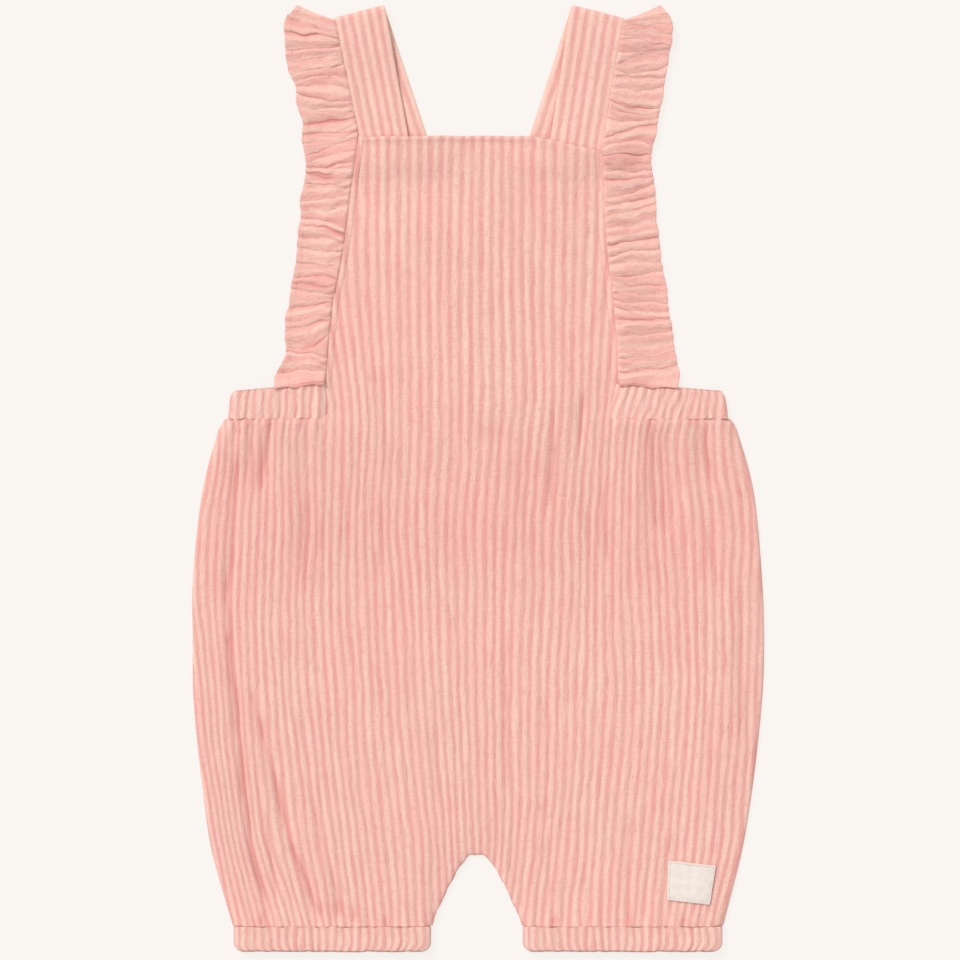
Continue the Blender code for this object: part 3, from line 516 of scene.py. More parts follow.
def hidden_lift(x, y):
    """How far the straps and the waistband behind the front lift it."""
    margin, slope = 3.2, 28.0
    lifts = []
    for strap in STRAPS.values():
        lean = np.cos(np.arctan(strap["lean"] + 2 * strap["bend"] * np.maximum(0.0, STRAP_BEND_START - y)))
        half = abs(strap["fold_inner"][0] - strap["fold_outer"][0]) / 2
        away = np.abs(x - strap_back_centre(strap, y)) * lean - half
        near = 1 - step(margin, margin + slope, away)
        near = near * step(STRAP_BACK_END - 46, STRAP_BACK_END - margin, y)
        top = strap_back_level(strap, np.maximum(y, STRAP_CROSS_END))
        for shift in (-margin, margin, 2 * margin):
            top = np.maximum(top, strap_back_level(strap, np.maximum(y, STRAP_CROSS_END) + shift))
        lifts.append(near * (top + STRAP_CLOTH / 2 + SEAM - LAID_ON_BACK))
        middle = (strap["end_outer"] + strap["end_inner"]) / 2
        away = np.abs(x - middle) - half
        near = (1 - step(margin, margin + slope, away)) * step(STRAP_FRONT_END - 18, STRAP_FRONT_END - margin, y)
        lifts.append(near * (STRAP_HIGH + STRAP_CLOTH / 2 + SEAM - LAID_ON_BACK))
    band = step(BAND_BOTTOM - 30, BAND_BOTTOM - 2, y) * (1 - step(BAND_TOP + 3, BAND_TOP + 40, y))
    lifts.append(band * (ELASTIC_CLOTH + SEAM - LAID_ON_BACK) + 0.0 * x)
    return sum(lift**6 for lift in lifts) ** (1 / 6)


def puff(x, y):
    """1 where the gathered cloth stands up beside a casing, falling to 0 away from it."""
    beside = step(0.0, 6.0, np.maximum(bib_side(y, -1) - x, x - bib_side(y, 1)))
    at_waist = beside * np.exp(-np.maximum(WAIST - y, 0.0) / 7.0)
    at_cuff = np.exp(-np.maximum(y - HEM, 0.0) / 6.0)
    return at_waist + at_cuff


def front_form(x, y):
    """Height of the middle of the front's wall without its stitched edges and crinkle, and its troughs' painted shade.
    """
    away = np.where(y > WAIST, bib_distance(x, y), edge_distance(x, y))
    rest = LAID_ON_BACK + CLOTH / 2 + 0.1
    crown = mix(0.5, 1.1, step(BAND_TOP + 30.0, WAIST - 24.0, y)) * step(0.0, 20.0, away)
    crease, shade = crease_height(x, y)
    inside = step(0.0, 5.0, away)
    loose = crease * inside + gather_height(x, y) + 0.8 * puff(x, y) * inside * (y <= WAIST)
    broad = 0.13 * noise(x / 6.0, y / 75, 11) + 0.1 * noise(x / 2.8, y / 38, 12)
    loose = loose + broad * step(1.0, 9.0, away)
    free = 1 - under_label(x, y)
    return rest + hidden_lift(x, y) + crown + loose * free, shade * inside * free


def crinkle(count, y):
    """Relief of the stripes: the light ones stand a little higher, unevenly along their length."""
    own = 0.75 + 0.25 * noise(np.floor(count + 0.5) * 3.7, y / 16, 21)
    fine = 0.05 * noise(count * 4.2, y / 3.4, 22)
    return -RELIEF * np.cos(2 * math.pi * count) * own + fine


def ridge_along(away, width):
    """A rounded ridge along an edge: 1 in the middle of its width and 0 at both sides."""
    return np.clip(1 - ((away - width / 2) / (width / 2)) ** 2, 0.0, 1.0)


def front_surface(x, y):
    """Height of the middle of the front's wall, with every edge, crease and stripe, and the painted shade in its
    hollows.
    """
    count = stripe(x, y)
    form, shade = front_form(x, y)
    z = form + crinkle(count, y) * (1 - 0.7 * under_label(x, y))
    on_bib = step(BAND_TOP - 3.0, BAND_TOP + 4.0, y)
    away = bib_distance(x, y)
    welt = WELT_HEIGHT * ridge_along(away, WELT)
    groove = np.exp(-((away - WELT - 0.2) / 0.55) ** 2)
    z = z + on_bib * (welt - 0.16 * groove)
    # Painted shade in the groove inside the welt
    shade = shade + 0.16 * on_bib * groove
    below = bib_top(x) - y
    hem = TOP_HEM_HEIGHT * ridge_along(below, TOP_HEM)
    groove = np.exp(-((below - TOP_HEM - 0.1) / 0.6) ** 2) * step(2.0, 4.0, away)
    z = z + hem * step(2.0, 4.0, away) - 0.12 * groove
    # Painted shade in the groove below the top hem
    shade = shade + 0.06 * groove
    edge = np.where(y <= WAIST, edge_distance(x, y), 1e3)
    turned = np.sqrt(np.clip(1 - (1 - np.clip(edge / ROLL, 0.0, 1.0)) ** 2, 0.0, 1.0))
    return ROLL_LOW + (z - ROLL_LOW) * turned, np.clip(shade, 0.0, 1.0)


# Meshes

def finish_mesh(name, mesh, finish):
    mesh.shade_smooth()
    mesh.materials.append(finish)
    made = bpy.data.objects.new(name, mesh)
    bpy.context.scene.collection.objects.link(made)
    return made


def shell(name, points, cloth, finish, thickness, keep=None, edge=None, ring=False, painted_shade=None):
    """A wall round a grid of points in millimetres, with its cloth map.

    edge is each point's share of the wall, and the painted shade is 1 in the bottom of a crease.
    """
    rows, columns = points.shape[:2]
    shown = columns - 1 if ring else columns
    number = np.arange(rows)[:, None] * shown + np.arange(columns)[None, :] % shown
    spot = np.arange(rows * columns).reshape(rows, columns)
    cells = [(r, c) for r in range(rows - 1) for c in range(columns - 1) if keep is None or keep(c, r)]
    r, c = np.array(cells).T
    corners = ((r, c), (r, c + 1), (r + 1, c + 1), (r + 1, c))
    faces = np.stack([number[a, b] for a, b in corners], axis=1)
    spots = np.stack([spot[a, b] for a, b in corners], axis=1)
    used, faces_used = np.unique(faces, return_inverse=True)
    placed = points[:, :shown].reshape(-1, 3)[used]
    mesh = bpy.data.meshes.new(name)
    mesh.from_pydata((placed * MM).tolist(), [], faces_used.reshape(faces.shape).tolist())
    layer = mesh.uv_layers.new(name="cloth")
    layer.data.foreach_set("uv", cloth.reshape(-1, 2)[spots.ravel()].ravel())
    # Painted shade, kept on the mesh for the material to darken the cloth with
    deep = np.zeros(points.shape[:2]) if painted_shade is None else painted_shade
    shade = mesh.attributes.new("painted_shade", "FLOAT", "POINT")
    shade.data.foreach_set("value", deep[:, :shown].reshape(-1)[used].astype(np.float32))
    made = finish_mesh(name, mesh, finish)
    wall = made.modifiers.new("wall", "SOLIDIFY")
    wall.thickness = thickness * MM
    wall.offset = 0.0
    wall.use_rim = True
    if edge is not None:
        group = made.vertex_groups.new(name="wall")
        weights = edge[:, :shown].reshape(-1)[used]
        for level in np.unique(np.round(weights, 2)):
            members = np.flatnonzero(np.round(weights, 2) == level)
            group.add(members.tolist(), float(level), "REPLACE")
        wall.vertex_group = "wall"
    return made


def round_edge(away, wall, least=0.3):
    """Share of the wall at a distance from a rounded edge."""
    share = np.clip(away / (wall * 0.6), 0.0, 1.0)
    return least + (1 - least) * np.sqrt(np.clip(1 - (1 - share) ** 2, 0.0, 1.0))


def steps_to(length, count, start=True, end=True):
    """Places along a length from 0 to 1, close together at the ends that are cloth edges."""
    near = np.array(EDGE_STEPS)
    low = near if start else near[:1]
    high = length - near[::-1] if end else np.array([length])
    middle = np.linspace(low[-1], high[0], count + 1)[1:-1]
    return np.concatenate([low, middle, high]) / length


def stitches(name, paths, finish, length=2.0, gap=1.0, radius=0.2, sink=0.05):
    """Thread along each path, as short rounded stitches in one mesh. A path is points in millimetres."""
    ring = 6
    profile = ((0.0, 0.35), (0.15, 0.85), (0.5, 1.0), (0.85, 0.85), (1.0, 0.35))
    vertices, faces, cloth = [], [], []
    turn = np.linspace(0, 2 * math.pi, ring, endpoint=False)
    for path in paths:
        path = np.asarray(path, dtype=float)
        runs = np.linalg.norm(np.diff(path, axis=0), axis=1)
        place = np.concatenate([[0.0], np.cumsum(runs)])
        count = int((place[-1] + gap) // (length + gap))
        pitch = (place[-1] + gap) / max(count, 1)
        for k in range(count):
            ends = [np.array([np.interp(k * pitch + d, place, path[:, axis]) for axis in range(3)])
                    for d in (0.0, pitch - gap)]
            ahead = ends[1] - ends[0]
            ahead = ahead / np.linalg.norm(ahead)
            across = np.cross(ahead, (0.0, 0.0, 1.0))
            across = across / np.linalg.norm(across)
            up = np.cross(across, ahead)
            first = len(vertices)
            for share, girth in profile:
                centre = mix(ends[0], ends[1], share) - up * (sink + radius * (1 - girth))
                for angle in turn:
                    vertices.append(centre + radius * girth * (across * math.cos(angle) + up * math.sin(angle)))
            for j in range(len(profile) - 1):
                for i in range(ring):
                    a, b = first + j * ring + i, first + j * ring + (i + 1) % ring
                    faces.append((a, b, b + ring, a + ring))
            faces.append(tuple(first + i for i in reversed(range(ring))))
            last = first + (len(profile) - 1) * ring
            faces.append(tuple(last + i for i in range(ring)))
    mesh = bpy.data.meshes.new(name)
    mesh.from_pydata((np.array(vertices) * MM).tolist(), [], faces)
    return finish_mesh(name, mesh, finish)


# Materials

class Nodes:
    """The nodes of one material, with short ways to add them."""

    def __init__(self, name):
        self.material = bpy.data.materials.new(name)
        self.material.use_nodes = True
        self.tree = self.material.node_tree
        self.shader = self.tree.nodes["Principled BSDF"]

    def plug(self, socket, value):
        if isinstance(value, bpy.types.NodeSocket):
            self.tree.links.new(value, socket)
        else:
            socket.default_value = value

    def add(self, kind, inputs, output=0, **settings):
        node = self.tree.nodes.new(kind)
        for key, value in settings.items():
            setattr(node, key, value)
        for key, value in inputs.items():
            self.plug(node.inputs[key], value)
        return node.outputs[output]

    def math(self, operation, *values):
        return self.add("ShaderNodeMath", dict(enumerate(values)), operation=operation)

    def range(self, value, low, high, to_low=0.0, to_high=1.0):
        inputs = {"Value": value, "From Min": low, "From Max": high, "To Min": to_low, "To Max": to_high}
        return self.add("ShaderNodeMapRange", inputs, interpolation_type="SMOOTHSTEP")

    def mix(self, share, a, b, clamp=True):
        node = self.tree.nodes.new("ShaderNodeMix")
        node.data_type = "RGBA"
        node.clamp_factor = clamp
        self.plug(node.inputs[0], share)
        self.plug(node.inputs[6], a)
        self.plug(node.inputs[7], b)
        return node.outputs[2]

    def parts(self, vector):
        split = self.tree.nodes.new("ShaderNodeSeparateXYZ")
        self.plug(split.inputs[0], vector)
        return tuple(split.outputs)

    def cloth_map(self):
        """U across the stripes and V along them."""
        return self.parts(self.add("ShaderNodeUVMap", {}, uv_map="cloth"))[:2]

    def noise(self, u, times_u, v, times_v, seed, detail=2.0, roughness=0.5):
        place = self.add("ShaderNodeCombineXYZ", {0: self.times(u, times_u), 1: self.times(v, times_v), 2: seed})
        inputs = {"Vector": place, "Scale": 1.0, "Detail": detail, "Roughness": roughness}
        return self.add("ShaderNodeTexNoise", inputs)

    def weave(self, u, warp, v, weft):
        """Threads over and under each other, with the numbers of warp and weft threads to a unit of the map."""
        over = self.math("SINE", self.times(u, 2 * math.pi * warp))
        return self.math("MULTIPLY", over, self.math("SINE", self.times(v, 2 * math.pi * weft)))

    def times(self, value, factor):
        return self.math("MULTIPLY", value, factor)

    def plus(self, *values):
        total = values[0]
        for value in values[1:]:
            total = self.math("ADD", total, value)
        return total

    def surface(self, colour, height, distance, roughness, sheen, sheen_tint):
        looks = {"Base Color": colour, "Roughness": roughness, "Specular IOR Level": 0.25, "Sheen Weight": sheen,
                 "Sheen Roughness": 0.45, "Sheen Tint": sheen_tint}
        return self.finish(looks, height, distance * MM)

    def finish(self, looks, height, distance, strength=1.0):
        for name, value in looks.items():
            self.plug(self.shader.inputs[name], value)
        bump = self.add("ShaderNodeBump", {"Strength": strength, "Distance": distance, "Height": height})
        self.plug(self.shader.inputs["Normal"], bump)
        return self.material


LIGHT_PINK = srgb(254, 208, 198)
LIGHT_PEACH = srgb(251, 216, 200)
DARK_PINK = srgb(237, 167, 162)
DARK_PEACH = srgb(230, 179, 166)
# The colour of the painted shade in creases, troughs and dips
PAINTED_SHADE_PINK = srgb(221, 126, 121)
SHEEN_TINT = srgb(255, 226, 214)
THREAD_PINK = srgb(243, 184, 172)
THREAD_DARK = srgb(214, 150, 140)


def striped_cotton(name, seed, crush=1.0, contrast=1.0, painted_shade_share=0.58, light=0.0):
    """Crinkle cotton with soft stripes whose hue drifts between pink and peach."""
    n = Nodes(name)
    u, v = n.cloth_map()

    # Stripes, with soft edges that waver and a contrast that comes and goes
    sway = n.times(n.math("SUBTRACT", n.noise(u, 0.9, v, 0.33, seed), 0.5), 0.14)
    jitter = n.times(n.math("SUBTRACT", n.noise(u, 4.0, v, 2.2, seed + 1), 0.5), 0.16)
    place = n.plus(u, sway, jitter)
    width = n.range(n.noise(u, 0.8, v, 0.25, seed + 9), 0.3, 0.7, -0.05, 0.05)
    dark = n.range(n.plus(n.math("PINGPONG", place, 0.5), width), 0.04, 0.44, 1.0, 0.0)
    faint = n.range(n.noise(u, 0.6, v, 0.4, seed + 10), 0.3, 0.7, 0.9 * contrast, 1.1 * contrast)
    dark = n.plus(n.math("MULTIPLY", n.plus(dark, -0.5), faint), 0.5)

    # Hue of each stripe, drifting along it: light ones change in the dark ones' middles, and the other way round
    light_one = n.math("FLOOR", place)
    dark_one = n.math("FLOOR", n.plus(place, 0.5))
    own = n.range(n.noise(light_one, 7.3, v, 0.09, seed + 2, detail=1.0), 0.36, 0.64)
    other = n.range(n.noise(dark_one, 3.9, v, 0.11, seed + 3, detail=1.0), 0.36, 0.64)
    light_cloth = n.mix(own, LIGHT_PINK, LIGHT_PEACH)
    dark_cloth = n.mix(other, DARK_PINK, DARK_PEACH)
    colour = n.mix(dark, light_cloth, dark_cloth, clamp=False)

    # Painted shade along one edge of a stripe, where its crinkle dips, here and there and all through the creases'
    # painted shade
    beside = n.math("ABSOLUTE", n.math("SUBTRACT", n.math("FRACT", n.plus(place, 0.27)), 0.5))
    line = n.range(beside, 0.0, 0.12, 1.0, 0.0)
    where = n.range(n.noise(dark_one, 5.1, v, 0.24, seed + 4), 0.5, 0.72)
    painted_shade = n.add("ShaderNodeAttribute", {}, output=2, attribute_name="painted_shade")
    where = n.math("MAXIMUM", where, n.range(painted_shade, 0.12, 0.6, 0.0, 1.3))
    crease = n.times(n.math("MULTIPLY", line, where), 0.5 * crush)
    colour = n.mix(crease, colour, srgb(214, 146, 138))

    # Weft that shows in short ladders of bars, a mottle at thread size, and broad fading
    bars = n.noise(u, 0.7, v, 5.0, seed + 5, detail=1.0)
    ladder = n.range(n.noise(u, 0.55, v, 0.35, seed + 11), 0.52, 0.68)
    rungs = n.range(n.math("SINE", n.times(v, 2 * math.pi * 4.3)), -0.2, 1.0)
    rungs = n.times(n.math("MULTIPLY", rungs, ladder), 0.36)
    lit = n.math("MAXIMUM", rungs, n.times(n.range(bars, 0.6, 0.74), 0.3))
    colour = n.mix(lit, colour, srgb(255, 222, 209))
    colour = n.mix(n.times(n.range(bars, 0.42, 0.3), 0.2), colour, srgb(216, 148, 140))
    slub = n.noise(u, 2.6, v, 9.0, seed + 12)
    thread = n.noise(u, 10.0, v, 10.0, seed + 6, roughness=0.8)
    streak = n.noise(u, 1.4, v, 0.06, seed + 13)
    broad = n.noise(u, 0.11, v, 0.08, seed + 7)
    for grain, low, high, strength, tone in (
        (slub, 0.4, 0.6, 0.21, (219, 150, 142)),
        (thread, 0.4, 0.6, 0.36, (218, 154, 146)),
        (streak, 0.38, 0.62, 0.14, (228, 156, 148)),
        (broad, 0.3, 0.7, 0.12, (246, 172, 164)),
    ):
        colour = n.mix(n.range(grain, low, high, 0.0, strength), colour, srgb(*tone))
    # Painted shade in the creases, troughs, puckers and ruching dips that the mesh marks
    colour = n.mix(n.times(painted_shade, painted_shade_share), colour, PAINTED_SHADE_PINK)

    wrinkle = n.noise(u, 3.1, v, 0.9, seed + 8, detail=3.0, roughness=0.6)
    # Painted shade where the wrinkle's relief is low
    colour = n.mix(n.range(wrinkle, 0.46, 0.34, 0.0, 0.23 * crush), colour, srgb(216, 140, 132))
    # Painted light: each copy of the cloth is made lighter by its own share, more on straps, ruffles and casings
    colour = n.mix(light, colour, srgb(255, 226, 214))

    # Relief: threads, crinkle between them, and the stripe's own swell
    weave = n.times(n.weave(u, 9, v, 9), 0.10)
    height = n.plus(weave, n.times(wrinkle, 1.7 * crush), n.times(crease, -0.9), n.times(thread, 0.3))
    rough = n.range(thread, 0.3, 0.7, 0.82, 0.95)
    return n.surface(colour, height, 0.32, rough, 0.22, SHEEN_TINT)


def thread(name, colour):
    """Twisted cotton thread."""
    n = Nodes(name)
    place = n.add("ShaderNodeTexCoord", {}, output=3)
    twist = n.math("SINE", n.times(n.plus(*n.parts(place)), 2 * math.pi / (0.45 * MM)))
    shade = n.range(twist, -1.0, 1.0, 0.0, 0.25)
    return n.surface(n.mix(shade, colour, srgb(196, 132, 122)), twist, 0.05, 0.8, 0.15, SHEEN_TINT)


def label_cotton(name):
    """Plain woven cotton tape."""
    n = Nodes(name)
    u, v = n.cloth_map()
    weave = n.weave(u, 2.2, v, 1.6)
    cloudy = n.noise(u, 0.35, v, 0.35, 3.0)
    colour = n.mix(n.range(cloudy, 0.3, 0.7), srgb(244, 234, 228), srgb(237, 226, 219))
    colour = n.mix(n.range(weave, -1.0, 1.0, 0.0, 0.18), colour, srgb(214, 201, 190))
    height = n.plus(n.times(weave, 0.4), n.times(cloudy, 1.2))
    return n.surface(colour, height, 0.12, 0.85, 0.12, srgb(255, 250, 244))


def floor_paper(name, colour, glow):
    """The floor: smooth matt paper on a light table, which keeps shadows faint."""
    n = Nodes(name)
    place = n.add("ShaderNodeTexCoord", {}, output=3)
    tooth = n.add("ShaderNodeTexNoise", {"Vector": place, "Scale": 900.0, "Detail": 2.0})
    base = tuple(part * (1 - glow) for part in colour[:3]) + (1.0,)
    looks = {"Base Color": base, "Emission Color": colour, "Emission Strength": glow, "Roughness": 0.95,
             "Specular IOR Level": 0.1}
    return n.finish(looks, tooth, 0.0001, strength=0.1)


# Pieces

def across(y, shares, inset=0.0):
    """Where the columns of front and back cross the heights y: side seam, bib line, bib line, side seam."""
    stops = (side(y, -1) + inset, bib_side(y, -1), bib_side(y, 1), side(y, 1) - inset)
    xs = [stops[0]]
    for start, end, places in zip(stops, stops[1:], shares):
        xs += [mix(start, end, place) for place in places[1:]]
    return xs


def lower_grid(rows, shares, inset=0.0):
    """Plan points from the hem and the inner leg seams up to the waist."""
    ends = leg_bottom(np.array(across(np.float64(HEM), shares, inset)), inset)
    y = mix(WAIST, ends[None, :], np.array(rows)[::-1, None])
    columns = across(y, shares, inset)
    x = np.stack([column[:, k] for k, column in enumerate(columns)], axis=1)
    return x, y


def front_cloth(finish):
    shares = (
        steps_to(62.0, 78, end=False),
        np.linspace(0, 1, 169),
        steps_to(62.0, 78, start=False),
    )
    side_columns, middle_columns = len(shares[0]) - 1, len(shares[1]) - 1
    x, y = lower_grid(steps_to(WAIST - HEM, 94, start=False), shares)
    lower = len(y) - 1
    total = x.shape[1]
    inside = np.clip((np.arange(total) - side_columns) / middle_columns, 0.0, 1.0)
    top = bib_top(mix(bib_side(BIB_TOP, -1), bib_side(BIB_TOP, 1), inside))
    rises = steps_to(BIB_TOP - WAIST, 52, start=False)[1:]
    bib_y = mix(WAIST, top[None, :], rises[:, None])
    edges = np.array((0.0, 0.25, 0.55, 0.9, 1.5, 2.1, 2.6, 3.0, 3.3, 3.8, 4.4))
    width = bib_side(bib_y, 1) - bib_side(bib_y, -1)
    near = np.interp(inside, np.linspace(0, 1, middle_columns + 1), edge_spaced(middle_columns, edges))
    bib_x = bib_side(bib_y, -1) + width * near[None, :]
    even_x = mix(bib_side(bib_y, -1), bib_side(bib_y, 1), inside[None, :])
    bib_x = mix(even_x, bib_x, step(WAIST, WAIST + 14.0, bib_y))
    x = np.concatenate([x, bib_x])
    y = np.concatenate([y, bib_y])
    z, shade = front_surface(x, y)
    u = stripe(x, y)
    away = bib_distance(x, y)

    # The sides run on a little into the waist casing, and the hem into the cuffs, with painted shade where they go in
    at_side = (np.arange(total) < side_columns) | (np.arange(total) > side_columns + middle_columns)
    tucks = np.array((0.35, 0.8, TUCK))
    for k, tuck in enumerate(tucks, start=1):
        x[lower + k, at_side], y[lower + k, at_side] = x[lower, at_side], WAIST + tuck
        z[lower + k, at_side] = mix(z[lower, at_side], TUCK_LEVEL, min(1.0, tuck / 0.7))
        u[lower + k, at_side] = u[lower, at_side]
        shade[lower + k, at_side] = 0.5
    in_cuff = np.minimum(tucks[::-1, None] / 0.7, 1.0)
    first, last = len(tucks), lower + len(tucks)
    x = np.concatenate([np.repeat(x[:1], first, axis=0), x])
    y = np.concatenate([y[:1] - tucks[::-1, None], y])
    z = np.concatenate([mix(z[:1], TUCK_LEVEL, in_cuff), z])
    u = np.concatenate([np.repeat(u[:1], first, axis=0), u])
    shade = np.concatenate([np.full((first, total), 0.5), shade])
    away = np.concatenate([np.full((first, total), 1e3), away])
    leg = (y[first] <= HEM + 0.01) & (side_clearance(x[first]) > 4.0)
    flank = at_side & (side_clearance(x[last]) > 4.0)

    points = np.stack([x, y, z], axis=2)
    cloth = np.stack([u, y / STRIPE], axis=2)
    edge = np.ones(x.shape)
    edge[last + 1:] = round_edge(np.minimum(away, bib_top(x) - y), CLOTH)[last + 1:]
    edge[last + 1:, at_side] = 1.0

    def keep(column, row):
        if row < first:
            return leg[column] and leg[column + 1]
        if row < last or side_columns <= column < side_columns + middle_columns:
            return True
        return row < last + first and flank[column] and flank[column + 1]

    return shell("front_cloth", points, cloth, finish, CLOTH, keep, edge, painted_shade=shade)


def side_clearance(x):
    """From the ends of the row of points x, and from the inner edges of the legs."""
    ends = np.minimum(x - x[0], x[-1] - x)
    return np.minimum(ends, np.abs(x - CROTCH_MIDDLE) - LEG_GAP + 1.5)


def edge_spaced(count, edges):
    """Shares across the bib, close together within its stitched edges."""
    near = edges / BIB_WIDTH
    middle = np.linspace(near[-1], 1 - near[-1], count + 1 - 2 * (len(edges) - 1))
    return np.concatenate([near[:-1], middle, 1 - near[:-1][::-1]])


def back_cloth(finish):
    shares = (np.linspace(0, 1, 37), np.linspace(0, 1, 81), np.linspace(0, 1, 37))
    x, y = lower_grid(np.linspace(0, 1, 96), shares, inset=ROLL - 0.1)
    u = stripe(x, y)
    relief = 0.1 + crinkle(u, y) * 0.6 + 0.04 * noise(x / 5, y / 30, 31)
    z = CLOTH / 2 + np.clip(relief, 0.0, 0.25)
    points = np.stack([x, y, z], axis=2)
    return shell("back_cloth", points, np.stack([u, y / STRIPE], axis=2), finish, CLOTH)


def casing_rows(bottom, top):
    """Rows of a folded casing from the outer seam over the fold to the inner seam: height, share outwards."""
    half = ELASTIC_CLOTH / 2 - 0.25
    outer = [(mix(bottom, top - half, t), 1.0) for t in (0.0, 0.02, 0.05, 0.1, 0.18, 0.28, 0.4, 0.52, 0.64, 0.76, 0.88)]
    fold = [(top - half + half * math.sin(a), math.cos(a)) for a in np.linspace(0, math.pi, 8)]
    inner = [(mix(top - half, bottom, t), -1.0) for t in (0.3, 0.6, 0.85, 1.0)]
    return outer + fold + inner


def waistband(finish):
    """From the left edge of the bib round the left side, the back and the right side to the bib again."""
    radius, half, wall = CASING_RADIUS, ELASTIC_CLOTH / 2, FOLDED_WALL
    points, cloth, painted_shade, walls = [], [], [], []
    for y, out in casing_rows(BAND_BOTTOM, BAND_TOP):
        share = np.clip((y - BAND_BOTTOM) / (BAND_TOP - BAND_BOTTOM), 0.0, 1.0)
        offset = out * (half - wall / 2)
        runs = []
        for sign in (-1, 1):
            fold = read_side(BAND_FOLDS, y, sign) - sign * (half + radius)
            inward = np.concatenate([[0.0, 0.01, 0.02, 0.035, 0.05, 0.07], np.linspace(0.09, 1, 86)])
            end = bib_side(y, sign) - sign * float(read_side(CASING_ENDS, share, sign))
            x = mix(end, fold, inward)
            flat = 1 - step(1.0, 5.0, np.abs(x - end))
            rise = mix(BAND_INNER_RISE, -BAND_OUTER_DROP, inward) * share
            rise = rise + 0.35 * noise(x / 4.0, 0.0, 44) * (1 - share) ** 2 * step(0.0, 0.1, inward)
            ends = (1 - step(0.88, 1.0, inward)) * (1 - flat)
            wave = gather(inward, WAIST_GATHERS) * ends
            ruched = gather(inward, BAND_FINE_GATHERS)
            pucker = 0.42 * (ruched - 0.5) * ends * (0.55 + 0.45 * abs(2 * share - 1))
            wander = 0.2 * noise(inward * 21, y / 6, 41 + sign) * ends
            lift = CASING_GATHER_HEIGHT * wave + (pucker + wander) * (out > -0.5)
            pitch, slant = (4.0, 0.05) if sign < 0 else (4.35, 0.36)
            lean = slant * (1 - step(0.55, 1.0, inward)) + 0.08 * step(0.55, 1.0, inward)
            u = (x - (y - BAND_BOTTOM) * lean) / pitch + 0.12 * noise(inward * 13, y / 5, 43 + sign)
            below = front_surface(np.array([end]), np.array([max(y, WAIST + 0.5)]))[0][0]
            thin = mix(0.3, 1.0, step(0.0, 2.4, np.abs(x - end)))
            lap = below + CLOTH / 2 + thin * wall / 2 - 0.03
            lap = lap + CASING_LAP * (offset + half) * step(0.0, 2.2, np.abs(x - end))
            z = mix(BAND_FRONT + offset + lift, lap, flat)
            # Painted shade in the dips of the ruching
            shade = 0.75 * ends * np.clip(0.4 - ruched, 0.0, 1.0) * (0.4 + 0.6 * abs(2 * share - 1))
            front = np.stack([x, y + rise, z, u, shade, thin], axis=1)
            turn = np.linspace(0, math.pi, 13)[1:]
            turn_x = fold + sign * (radius + offset) * np.sin(turn)
            turn_z = BAND_BACK + radius + (radius + offset) * np.cos(turn)
            turn_u = u[-1] + sign * radius * turn / pitch
            turn_y = np.full(turn.shape, y - BAND_OUTER_DROP * share)
            bend = np.stack([turn_x, turn_y, turn_z, turn_u, 0.0 * turn, 0.0 * turn + 1.0], axis=1)
            runs.append(np.concatenate([front, bend]))
        left, right = runs
        back = np.linspace(0, 1, 132)[1:-1]
        back_x = mix(left[-1, 0], right[-1, 0], back)
        back_z = np.full(back.shape, BAND_BACK) - offset
        back_z = back_z + 0.12 * gather(back, BAND_BACK_GATHERS) * (1 - abs(2 * back - 1) ** 8)
        back_u = left[-1, 3] + (back_x - left[-1, 0]) / 4.0
        level = step(0.0, 0.3, back) * (1 - step(0.7, 1.0, back))
        back_y = y - BAND_OUTER_DROP * share * (1 - level)
        middle = np.stack([back_x, back_y, back_z, back_u, 0.0 * back, 0.0 * back + 1.0], axis=1)
        row = np.concatenate([left, middle, right[::-1]])
        points.append(row[:, :3])
        cloth.append(np.stack([row[:, 3], np.full(len(row), (y * out) / STRIPE)], axis=1))
        painted_shade.append(row[:, 4])
        walls.append(row[:, 5])
    points, cloth, painted_shade, walls = (np.array(rows) for rows in (points, cloth, painted_shade, walls))
    return shell("waistband_cloth", points, cloth, finish, wall, edge=walls, painted_shade=painted_shade)


def strap_front_level(y):
    """Height of the middle of a strap's wall in front, from the bib up to the shoulder."""
    share = (y - STRAP_FRONT_END) / (STRAPS["strap_left"]["fold_outer"][1] - STRAP_FRONT_END)
    return mix(STRAP_HIGH, STRAP_FOLD, step(0.45, 1.0, share))


def strap_rows(own):
    """Plan lines across a strap from its front end over the shoulder to its back end: outer, inner, height, tilt."""
    outer_fold, inner_fold = np.array(own["fold_outer"]), np.array(own["fold_inner"])
    line = inner_fold - outer_fold
    up = np.array((-line[1], line[0])) / np.linalg.norm(line)
    up = up if up[1] > 0 else -up
    radius = (STRAP_FOLD - STRAP_LOW) / 2
    rows = []
    for share in np.linspace(0, 1, 30):
        outer = mix(np.array((own["end_outer"], STRAP_FRONT_END)), outer_fold, share)
        inner = mix(np.array((own["end_inner"], STRAP_FRONT_END)), inner_fold, share)
        rows.append((outer, inner, strap_front_level((outer[1] + inner[1]) / 2), 0.0))
    for turn in np.linspace(0, math.pi, 16)[1:-1]:
        out = radius * math.sin(turn)
        height = STRAP_LOW + radius * (1 + math.cos(turn))
        rows.append((outer_fold + up * out, inner_fold + up * out, height, turn))
    for share in np.linspace(0, 1, 76):
        ends = []
        for fold in (outer_fold, inner_fold):
            y = mix(fold[1], STRAP_BACK_END, share)
            x = fold[0] + own["lean"] * (fold[1] - y) + own["bend"] * max(0.0, STRAP_BEND_START - y) ** 2
            ends.append(np.array((x, y)))
        rows.append((ends[0], ends[1], None, math.pi))
    return rows, up


